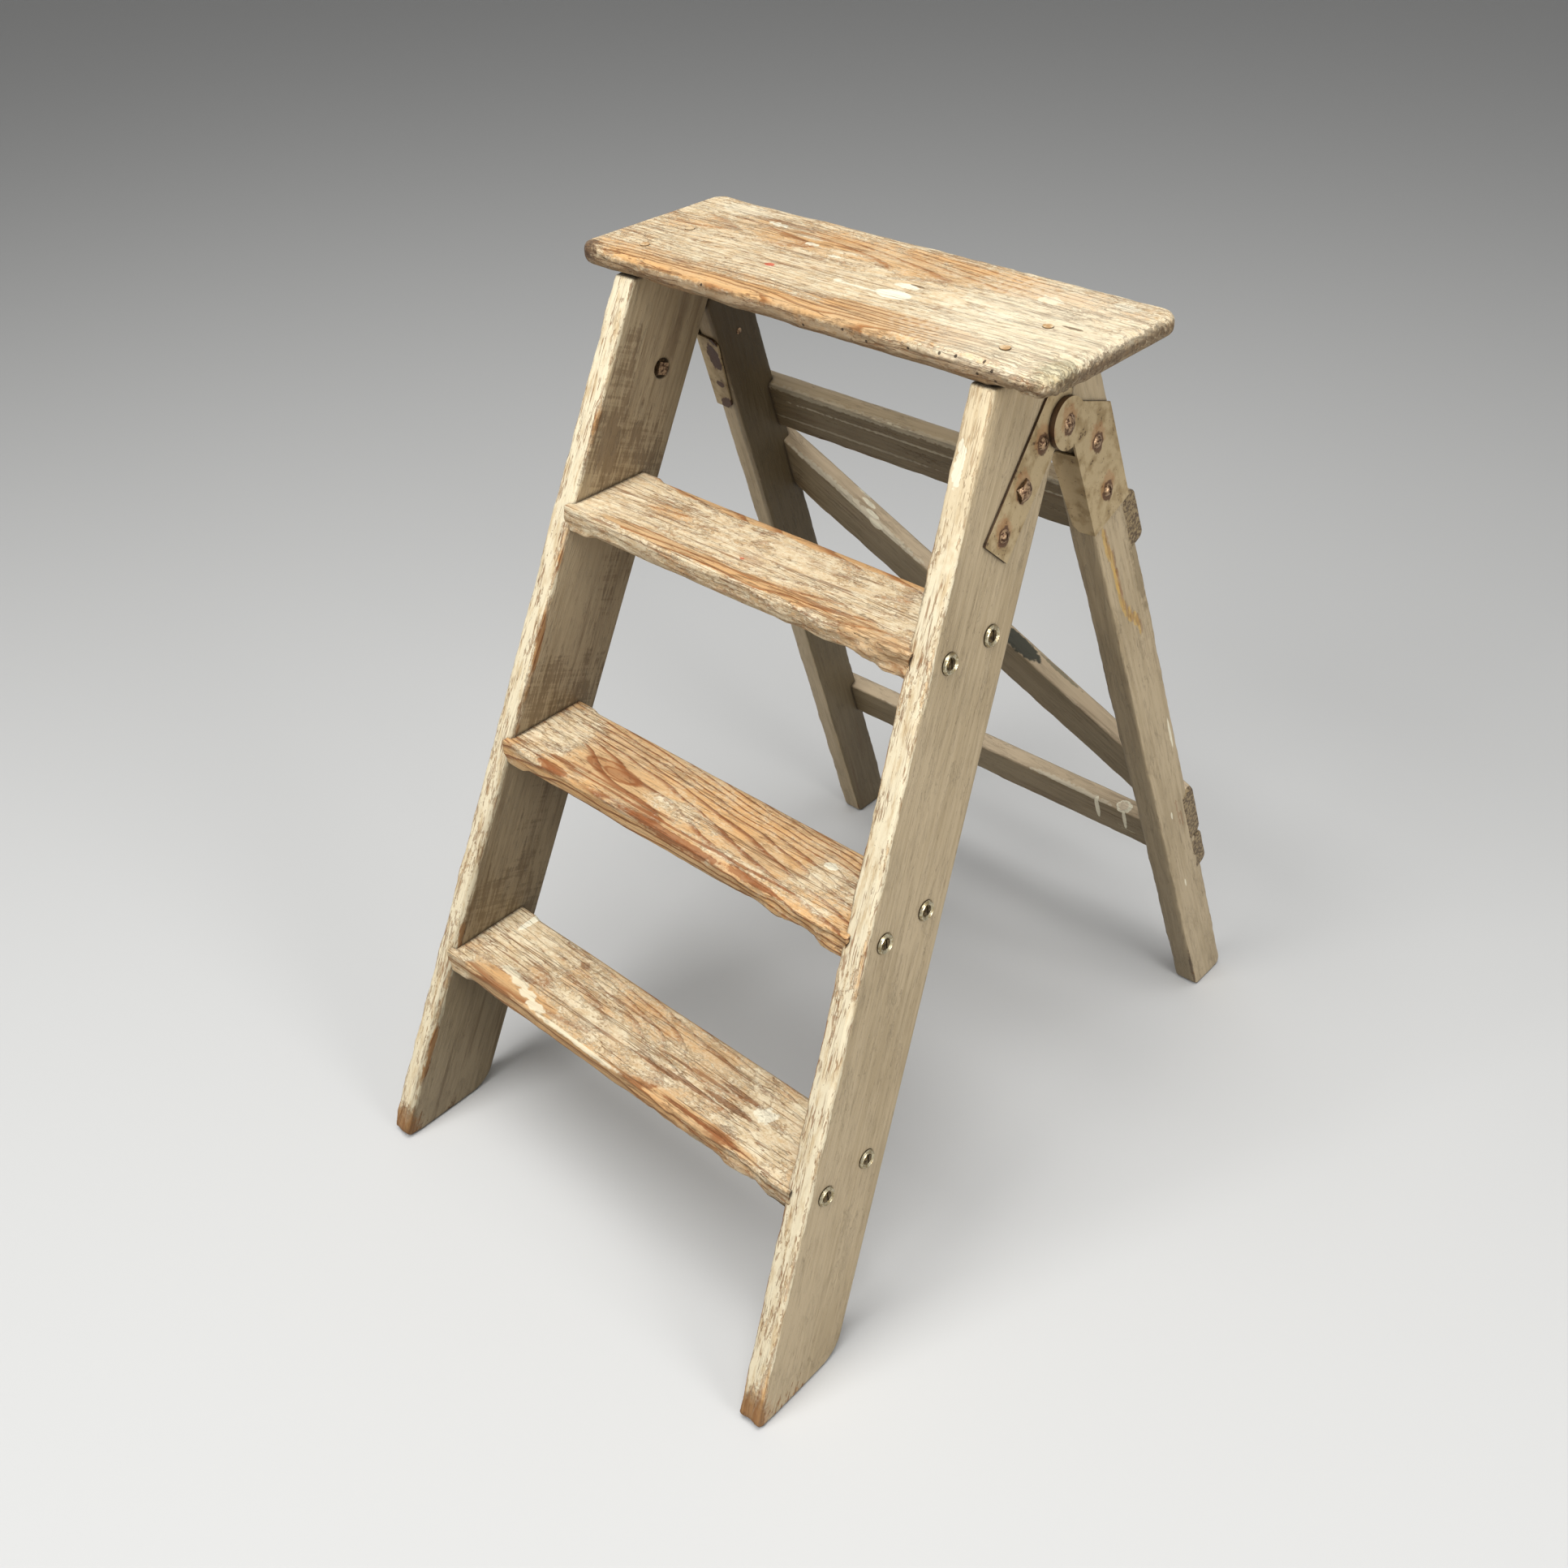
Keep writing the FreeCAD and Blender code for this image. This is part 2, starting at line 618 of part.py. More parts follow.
def board_screw_head(seat, clearance):
    """Countersunk head, flush with the board's top."""
    profile = [(0, 0), (board_screw_head_radius + clearance, 0),
               (board_screw_radius + clearance, -board_screw_head_height),
               (0, -board_screw_head_height)]
    return turned(profile, seat, V(0, 0, 1))


def board_screw(seat):
    shank = Part.makeCylinder(board_screw_radius, board_screw_length, seat, V(0, 0, -1))
    return board_screw_head(seat, 0).fuse(shank).removeSplitter()


def nail(seat):
    """Wire nail driven forward into a leg, its head flush with the timber's rear face."""
    head = Part.makeCylinder(nail_head_radius, nail_head_height, seat, leg_rearward * -1)
    shank = Part.makeCylinder(nail_radius, nail_length, seat, leg_rearward * -1)
    return head.fuse(shank).removeSplitter()


def nail_hole(shape, seat):
    into = leg_rearward * -1
    shape = drill(shape, nail_head_radius + fit, seat, into, nail_head_height)
    return drill(shape, nail_radius + fit, seat, into, nail_length)


# ---- putting it together ----------------------------------------------------------------
def toe_setback(radius, lean):
    """How far a rounded foot corner draws back from the sharp one."""
    return radius / math.tan(math.radians(90 - lean) / 2) - radius


rear_foot = on_leg(-pivot_z / math.cos(rear_angle), leg_width)
rear_foot_y = rear_foot[0] + rear_foot[1] * math.tan(rear_angle)
origin_y = (toe_setback(stringer_foot_radius, front_lean)
            + rear_foot_y - toe_setback(leg_foot_radius, rear_lean)) / 2

os.makedirs("parts", exist_ok=True)


def save(name, *solids):
    shape = solids[0] if len(solids) == 1 else Part.makeCompound(list(solids))
    shape = shape.copy()
    shape.translate(V(0, -origin_y, 0))
    shape.exportStep("parts/" + name + ".step")


def save_pair(name, *solids):
    """The right-hand pieces and their mirror images on the left."""
    save("right_" + name, *solids)
    save("left_" + name, *[mirrored(solid) for solid in solids])


treads = [make_tread(top) for top in tread_tops]
for place, tread in zip(("lower", "middle", "upper"), treads):
    save(place + "_tread", tread)
save("top_board", make_top_board())
save_pair("stringer", make_stringer(treads))

upper_rail = make_rail(upper_rail_drop, upper_rail_width)
lower_rail = make_rail(lower_rail_drop, lower_rail_width)
brace = make_brace()
save("upper_rail", upper_rail)
save("lower_rail", lower_rail)
save("diagonal_brace", brace)

right_leg = make_leg([upper_rail, lower_rail, brace])
left_leg = mirrored(make_leg([upper_rail, lower_rail, mirrored(brace)]))
for seat in brace_nail_seats():
    if seat.x > 0:
        right_leg = nail_hole(right_leg, seat)
    else:
        left_leg = nail_hole(left_leg, seat)
save("right_rear_leg", right_leg)
save("left_rear_leg", left_leg)

save_pair("hinge_strap", make_strap())
save_pair("hinge_bracket", make_bracket())
save_pair("pivot_rivet", make_pivot_rivet())
save_pair("strap_bolt", strap_bolt())
nut, washer = nut_and_washer()
save_pair("bolt_nut", nut)
save_pair("bolt_washer", washer)
save_pair("strap_screws", *[round_screw(seat) for seat in strap_screw_seats])
save_pair("bracket_screw", round_screw(bracket_screw_seat))
save_pair("bracket_nail", clenched_nail())
save_pair("cup_washers", *[cup_washer(seat) for seat in cup_screw_seats()])
save_pair("tread_screws", *[cup_screw(seat) for seat in cup_screw_seats()])

board_screws = [board_screw(seat) for seat in board_screw_seats()]
save("board_screws", *board_screws, *[mirrored(screw) for screw in board_screws])
rail_nails = [nail(seat) for drop, width in ((upper_rail_drop, upper_rail_width),
                                             (lower_rail_drop, lower_rail_width))
              for seat in rail_nail_seats(drop, width)]
save("rail_nails", *rail_nails, *[mirrored(one) for one in rail_nails])
save("brace_nails", *[nail(seat) for seat in brace_nail_seats()])

print("pivot at y %.3f z %.3f" % (pivot_y - origin_y, pivot_z))
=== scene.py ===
import json
import math

import bpy
from mathutils import Matrix, Vector


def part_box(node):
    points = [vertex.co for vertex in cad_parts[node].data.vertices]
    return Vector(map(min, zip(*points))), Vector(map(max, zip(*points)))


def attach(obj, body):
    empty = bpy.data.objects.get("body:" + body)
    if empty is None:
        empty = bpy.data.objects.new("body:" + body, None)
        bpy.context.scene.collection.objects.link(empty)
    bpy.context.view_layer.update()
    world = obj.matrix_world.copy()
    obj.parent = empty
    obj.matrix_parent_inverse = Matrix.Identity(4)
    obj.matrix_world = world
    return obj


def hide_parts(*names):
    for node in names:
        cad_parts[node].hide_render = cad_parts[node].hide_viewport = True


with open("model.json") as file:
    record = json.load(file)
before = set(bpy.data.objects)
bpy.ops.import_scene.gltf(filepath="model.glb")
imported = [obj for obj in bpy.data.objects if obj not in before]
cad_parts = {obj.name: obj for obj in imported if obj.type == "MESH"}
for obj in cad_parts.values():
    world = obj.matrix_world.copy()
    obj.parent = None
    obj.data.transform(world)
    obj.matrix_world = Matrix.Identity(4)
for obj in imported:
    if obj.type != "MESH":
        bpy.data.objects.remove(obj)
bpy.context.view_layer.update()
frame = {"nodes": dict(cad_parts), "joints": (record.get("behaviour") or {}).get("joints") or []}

# ---- Stringers ------------------------------------------------------------------------
# The front frame's two side boards: planed pine 110 by 26 mm, leaning back and towards
# each other, feet cut level and knocked round, painted cream long ago and greige since.
# The bolt that holds each hinge strap ends in a counterbored hole on the inner face.
FRONT_LEAN = math.radians(23.5)
FOOT_HALF = 0.281
SIDE_SLOPE = 0.068 / 0.885
FOOT_CORNER_Y = -0.42922
BOARD_UNDERSIDE = 0.885
STRINGER_WIDTH = 0.110
STRINGER_THICKNESS = 0.026
OUTWARD = Vector((1, 0, SIDE_SLOPE)).normalized()
CELL = 0.0022               # size of the facets that carry dents and chips
NEAR = 1e-4                 # an edge this close to a face counts as lying on it
FOOT_RADII = (0.016, 0.022)
NUT_RECESS_RADIUS = 0.0095
NUT_RECESS_DEPTH = 0.0065


def side_point(y, z, depth):
    """Point sunk square into the right-hand side plane by depth."""
    return Vector((FOOT_HALF - SIDE_SLOPE * z, y, z)) - OUTWARD * depth


def lie(origin, along, face):
    """Matrix that lays a board: X along it, Z out of the face, origin at its own zero."""
    x = along.normalized()
    y = face.cross(x).normalized()
    z = x.cross(y)
    turned = Matrix((x, y, z)).transposed().to_4x4()
    return Matrix.Translation(origin) @ turned


def mirror_lie(matrix):
    """The left-hand board's matrix, a mirror image of the right-hand one's."""
    origin, x, y, z = (Vector(matrix.col[i][:3]) for i in (3, 0, 1, 2))
    for way in (origin, x, y, z):
        way.x = -way.x
    turned = Matrix((x, y, -z)).transposed().to_4x4()
    return Matrix.Translation(origin) @ turned


def take(piece):
    """Select one piece and nothing else."""
    bpy.ops.object.select_all(action="DESELECT")
    piece.select_set(True)
    bpy.context.view_layer.objects.active = piece


def open_mesh(piece, kind):
    """Enter edit mode with nothing selected."""
    take(piece)
    bpy.ops.object.mode_set(mode="EDIT")
    bpy.ops.mesh.select_mode(type=kind)
    bpy.ops.mesh.select_all(action="DESELECT")


def pick_edges(piece, test):
    """Enter edit mode with those edges selected whose two ends pass the test."""
    open_mesh(piece, "EDGE")
    bpy.ops.object.mode_set(mode="OBJECT")
    verts = piece.data.vertices
    for edge in piece.data.edges:
        a, b = (verts[i].co for i in edge.vertices)
        edge.select = test(a, b)
    bpy.ops.object.mode_set(mode="EDIT")


def round_edges(piece, radius, segments, test):
    pick_edges(piece, test)
    bpy.ops.mesh.bevel(offset=radius, segments=segments, affect="EDGES")
    bpy.ops.object.mode_set(mode="OBJECT")


def round_foot(piece, matrix, radii, segments):
    """Knock round the front and back edges of a foot that stands on the floor."""
    for way, radius in zip((-1, 1), radii):
        def at_foot(a, b):
            return (abs((matrix @ a).z) < NEAR and abs((matrix @ b).z) < NEAR
                    and abs(a.y - b.y) < NEAR and a.y * way > 0)

        round_edges(piece, radius, segments, at_foot)


def ease_arrises(piece, radius):
    """Round every sharp edge that is left."""
    open_mesh(piece, "EDGE")
    bpy.ops.mesh.edges_select_sharp(sharpness=math.radians(40))
    bpy.ops.mesh.bevel(offset=radius, segments=3, affect="EDGES")
    bpy.ops.object.mode_set(mode="OBJECT")


def block(name, low, high):
    """Sawn block between two corners."""
    bpy.ops.object.select_all(action="DESELECT")
    low, high = Vector(low), Vector(high)
    bpy.ops.mesh.primitive_cube_add(size=1, location=(low + high) / 2, scale=high - low)
    piece = bpy.context.object
    piece.name = piece.data.name = name
    bpy.ops.object.transform_apply(location=True, rotation=True, scale=True)
    return piece


def saw(piece, matrix, point, normal):
    """Cut off what lies beyond a plane given in the ladder's own space."""
    back = matrix.inverted()
    open_mesh(piece, "VERT")
    bpy.ops.mesh.select_all(action="SELECT")
    bpy.ops.mesh.bisect(plane_co=back @ Vector(point), plane_no=back.to_3x3() @ Vector(normal),
                        use_fill=True, clear_outer=True)
    bpy.ops.object.mode_set(mode="OBJECT")


def apply_modifier(piece, kind, **settings):
    take(piece)
    modifier = piece.modifiers.new(kind.lower(), kind)
    for key, value in settings.items():
        setattr(modifier, key, value)
    bpy.ops.object.modifier_apply(modifier=modifier.name)


def bore(piece, centre, radius, low, high):
    """Round hole along Z between two depths."""
    bpy.ops.object.select_all(action="DESELECT")
    bpy.ops.mesh.primitive_cylinder_add(vertices=40, radius=radius, depth=high - low,
                                        location=(centre[0], centre[1], (low + high) / 2))
    drill = bpy.context.object
    apply_modifier(piece, "BOOLEAN", operation="DIFFERENCE", object=drill, solver="EXACT")
    bpy.data.objects.remove(drill)


def refine(piece, cell=CELL):
    apply_modifier(piece, "REMESH", mode="VOXEL", voxel_size=cell)


def weather(piece, size, depth, stretch=1.0, contrast=1.0, bias=0.0, where=None, shift=0.0):
    """Wear the surface away by up to depth, in hollows of about the given size."""
    texture = bpy.data.textures.new("wear", "CLOUDS")
    texture.noise_scale = size
    texture.noise_depth = 3
    texture.contrast = contrast
    texture.intensity = 1 + bias
    bpy.ops.object.select_all(action="DESELECT")
    bpy.ops.object.empty_add(location=(shift, shift * 0.7, shift * 0.4))
    ruler = bpy.context.object
    ruler.scale = (stretch, 1, 1)
    bpy.context.view_layer.update()
    group = ""
    if where:
        group = piece.vertex_groups.new(name="wear").name
        for vertex in piece.data.vertices:
            weight = where(vertex.co)
            if weight > 0:
                piece.vertex_groups[group].add([vertex.index], min(weight, 1), "REPLACE")
    apply_modifier(piece, "DISPLACE", texture=texture, texture_coords="OBJECT",
                   texture_coords_object=ruler, strength=-depth, mid_level=0,
                   direction="NORMAL", vertex_group=group)
    if where:
        piece.vertex_groups.remove(piece.vertex_groups[group])
    bpy.data.objects.remove(ruler)
    bpy.data.textures.remove(texture)


def near_arris(half_width, half_thick):
    """Weight that fades out within a few millimetres of a board's long arrises."""
    def weight(co):
        return 1.2 - ((half_width - abs(co.y)) + (half_thick - abs(co.z))) / 0.006

    return weight


def fix(piece, matrix, body, nodes, material):
    """Put a finished board in its place on the ladder."""
    take(piece)
    bpy.ops.object.shade_smooth()
    piece.matrix_world = matrix
    bpy.ops.object.transform_apply(location=True, rotation=True, scale=True)
    piece.data.materials.clear()
    piece.data.materials.append(material)
    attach(piece, body)
    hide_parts(*nodes)


def paint(red, green, blue):
    """A colour as a paint chart gives it, 0 to 255, made linear."""
    return tuple(((c / 255 + 0.055) / 1.055) ** 2.4 for c in (red, green, blue)) + (1.0,)


class Field:
    """What a node puts out over a surface, open to plain arithmetic."""

    def __init__(self, socket):
        self.socket = socket
        self.tree = socket.id_data

    def calc(self, operation, *others):
        sockets = dict(enumerate((self,) + others))
        return got(put(self.tree, "Math", sockets, operation=operation))

    def __add__(self, other):
        return self.calc("ADD", other)

    def __sub__(self, other):
        return self.calc("SUBTRACT", other)

    def __rsub__(self, other):
        return self * -1.0 + other

    def __mul__(self, other):
        return self.calc("MULTIPLY", other)

    def __truediv__(self, other):
        return self.calc("DIVIDE", other)

    def __pow__(self, other):
        return self.calc("POWER", other)

    def __abs__(self):
        return self.calc("ABSOLUTE")


def wire(node, sockets):
    """Feed a node: a field is linked to its socket, anything else is typed in."""
    for key, value in sockets.items():
        if isinstance(value, Field):
            value.tree.links.new(value.socket, node.inputs[key])
        else:
            node.inputs[key].default_value = value
    return node


def put(tree, kind, sockets=None, **settings):
    """Add a node, set it up and feed it."""
    node = tree.nodes.new("ShaderNode" + kind)
    for key, value in settings.items():
        setattr(node, key, value)
    return wire(node, sockets or {})


def got(node, key=0):
    return Field(node.outputs[key])


def vector(operation, a, *b):
    """Vector arithmetic; its outputs are Vector and Value."""
    return put(a.tree, "VectorMath", dict(enumerate((a,) + b)), operation=operation)


def split(place):
    node = put(place.tree, "SeparateXYZ", {0: place})
    return [got(node, axis) for axis in range(3)]


def fade(value, start, end, low=0.0, high=1.0):
    """Smooth change from low to high as value goes from start to end."""
    return got(put(value.tree, "MapRange", {0: value, 1: start, 2: end, 3: low, 4: high},
                   interpolation_type="SMOOTHSTEP"))


def tint(mask, under, over):
    return got(put(mask.tree, "Mix", {0: mask, 6: under, 7: over}, data_type="RGBA"), 2)


def wash(colour, mask, strength, chip):
    return tint(mask * strength, colour, chip)


def noise(place, scale, detail=2.0, rough=0.5):
    return got(put(place.tree, "TexNoise", {"Vector": place, "Scale": scale, "Detail": detail,
                                            "Roughness": rough}))


def mottle(place, along, across, detail=3.0, rough=0.6, shift=0.0):
    """Noise drawn out along the board: its spots are 1/along by 1/across metres."""
    stretched = put(place.tree, "Mapping", {"Vector": place, "Scale": (along, across, across),
                                            "Location": (shift, shift * 1.7, shift * 0.6)})
    return noise(got(stretched), 1.0, detail, rough)


def stride(place, centre, size, scaling="DIVIDE"):
    """How far a place is from a centre, in steps of size each way."""
    off = got(vector("SUBTRACT", place, centre))
    off = got(vector(scaling, off, size))
    return got(vector("LENGTH", off), "Value")


def new_group(name, vectors, values, results):
    """Shader node group: its tree, its inputs as fields, and its output node."""
    tree = bpy.data.node_groups.new(name, "ShaderNodeTree")
    for way, kind, labels in (("INPUT", "Vector", vectors), ("INPUT", "Float", values),
                              ("OUTPUT", "Float", results)):
        for label in labels:
            tree.interface.new_socket(label, in_out=way, socket_type="NodeSocket" + kind)
    source = tree.nodes.new("NodeGroupInput")
    fields = {label: got(source, label) for label in vectors + values}
    return tree, fields, tree.nodes.new("NodeGroupOutput")


def use_group(group, sockets):
    node = sockets["Place"].tree.nodes.new("ShaderNodeGroup")
    node.node_tree = group
    wire(node, sockets)
    return {socket.name: Field(socket) for socket in node.outputs}


# Growth rings cut by a board's face, swollen round one knot, and the fibres between them.
grain, given, result = new_group(
    "pine_grain", ("Place", "Knot"),
    ("Pith across", "Pith below", "Slope", "Skew", "Ring", "Knot swell"), ("Latewood", "Fibre"))
place = given["Place"]
x, y, z = split(place)
wander = mottle(place, 2.4, 9.0) * 0.05 - 0.025
across = given["Skew"] * x + (y - given["Pith across"] + wander)
below = given["Slope"] * x + (z + given["Pith below"])
radius = (across ** 2 + below ** 2).calc("SQRT")
away = stride(place, given["Knot"], (19.0, 52.0, 0.0), "MULTIPLY")
swell = (away ** 2 * -1.0).calc("EXPONENT")
radius = swell * given["Knot swell"] + radius
rings = mottle(place, 26.0, 240.0, 2.0) * 0.22 + radius / given["Ring"]
turn = rings.calc("FRACT")
wire(result, {"Latewood": fade(turn, 0.56, 0.90) * fade(turn, 1.0, 0.93),
              "Fibre": mottle(place, 22.0, 800.0, 3.0, 0.7)})

# A coat of paint worn through: crisp flakes, their rims, and the thin film that foot
# traffic rubs into the grain before the wood shows.
coat, given, result = new_group("worn_coat", ("Place",), ("Cover", "Latewood", "Seed"),
                                ("Coat", "Rim", "Film"))
place = got(vector("ADD", given["Place"], given["Seed"]))
flecks = mottle(place, 110.0, 380.0, 4.0, 0.7, 4.0)
level = flecks * 0.40 + mottle(place, 13.0, 42.0, 7.0, 0.66) * 0.60
brink = given["Cover"] * 0.38 + 0.32
gap = given["Latewood"] * 0.03 + level - brink
wire(result, {"Coat": fade(gap, 0.012, -0.012), "Rim": fade(abs(gap), 0.026, 0.004),
              "Film": fade(gap, 0.15, 0.0)})

# Where something happened on a board: 1 at its heart, ragged along the grain.
zone, given, result = new_group("zone", ("Place", "Centre", "Size"), (), ("Zone",))
ragged = mottle(given["Place"], 24.0, 90.0, 5.0, 0.65, 2.0) - 0.5
away = ragged * 1.6 + stride(given["Place"], given["Centre"], given["Size"])
wire(result, {"Zone": fade(away, 1.25, 0.65)})

# Dirt that has settled in long streaks and soft clouds.
grime, given, result = new_group("grime", ("Place",), ("Amount",), ("Dirt",))
streaks = mottle(given["Place"], 5.0, 120.0, 5.0, 0.7)
clouds = mottle(given["Place"], 5.0, 16.0, 4.0, 0.6, 7.0)
start = given["Amount"] * -0.22 + 0.62
wire(result, {"Dirt": fade(streaks * 0.55 + clouds * 0.45 - start, 0.0, 0.16)})

# One mark at a set place: a splash, a knot, a rust stain.
mark, given, result = new_group("mark", ("Place", "Centre", "Size"), ("Ragged", "Soft"),
                                ("Mark", "Rim"))
ragged = (noise(given["Place"], 180.0, 3.0) - 0.5) * given["Ragged"]
away = ragged + stride(given["Place"], given["Centre"], given["Size"])
wire(result, {"Rim": fade(abs(away - 0.9), 0.14, 0.04),
              "Mark": fade(away, given["Soft"] + 1.0, 1.0)})

WOOD_EARLY = paint(214, 170, 116)
WOOD_LATE = paint(128, 76, 38)
WOOD_GREY = paint(150, 126, 96)
CREAM = paint(228, 215, 184)
CREAM_DULL = paint(206, 184, 146)
GREIGE = paint(190, 171, 139)
GREIGE_DARK = paint(172, 153, 121)
DIRT = paint(92, 68, 42)
BARE = paint(140, 96, 58)
CREVICE_SHADE = paint(44, 32, 20)
SHADE_BROWN = paint(66, 54, 30)
RUST_BROWN = paint(132, 84, 46)
WHITE_SPLASH = paint(238, 230, 204)
DUST_AND_TOP_LIGHT = paint(212, 191, 162)
END_GRAIN = paint(146, 126, 92)
END_DARK = paint(84, 66, 46)
GLOOM = (0.16, 0.142, 0.098)    # what an unlit face keeps of its colour


def board_space(tree, matrix):
    """Coordinates along, across and through a board that lies at matrix."""
    back = matrix.inverted()
    place = got(put(tree, "TexCoord"), "Object")
    return got(put(tree, "Mapping", {"Vector": place, "Location": back.to_translation(),
                                     "Rotation": back.to_euler()}))


def hairlines(place, along, across, width, shift):
    """Broken hair cracks that follow the grain."""
    swirl = mottle(place, along, across, 3.0, 0.6, shift)
    broken = mottle(place, along * 1.6, across * 0.4, 2.0, 0.5, shift + 3)
    return fade(abs(swirl - 0.5), width, width * 0.3) * fade(broken, 0.47, 0.56)


def zoned(place, value, zones):
    """Raise or lower a value over some areas: (centre, size, gain)."""
    for centre, size, gain in zones:
        mask = use_group(zone, {"Place": place, "Centre": centre, "Size": size})["Zone"]
        value = mask * gain + value
    return value


def splashed(place, colour, marks):
    """Lay marks over a colour: (centre, size, ragged, soft, strength, paint)."""
    for centre, size, ragged, soft, strength, chip in marks:
        mask = use_group(mark, {"Place": place, "Centre": centre, "Size": size,
                                "Ragged": ragged, "Soft": soft})["Mark"]
        colour = wash(colour, mask, strength, chip)
    return colour


def streak(points, width, ragged, soft, strength, chip):
    """A run of paint or a dark grain line through (along, across, through) points."""
    run = []
    for start, end in zip(points, points[1:]):
        middle = [(a + b) / 2 for a, b in zip(start, end)]
        reach = abs(end[0] - start[0]) * 0.62
        size = (reach, width + abs(end[1] - start[1]) * 0.22, 0.006)
        run.append((middle, size, ragged, soft, strength, chip))
    return run


def crevices(tree, reach, samples):
    """Near 1 on open faces, less where walls within reach shut the light out."""
    return got(put(tree, "AmbientOcclusion", {"Distance": reach}, samples=samples), "AO")


def finish_surface(colour, roughness, height, depth):
    """Principled surface with a relief of the given depth in metres, and painted crevice shade.
    """
    relief = put(colour.tree, "Bump", {"Height": height, "Distance": depth, "Strength": 1.0})
    # Painted shade: darker where nearby walls shut the light out, in crevices and between parts.
    crevice_shade = fade(crevices(colour.tree, 0.006, 6), 0.86, 0.48, 0.0, 0.85)
    shader = put(colour.tree, "BsdfPrincipled",
                 {"Base Color": tint(crevice_shade, colour, CREVICE_SHADE), "Roughness": roughness,
                  "Normal": got(relief), "Specular IOR Level": 0.3})
    put(colour.tree, "OutputMaterial", {0: got(shader)})


def new_material(name):
    material = bpy.data.materials.new(name)
    material.use_nodes = True
    material.node_tree.nodes.clear()
    return material, material.node_tree


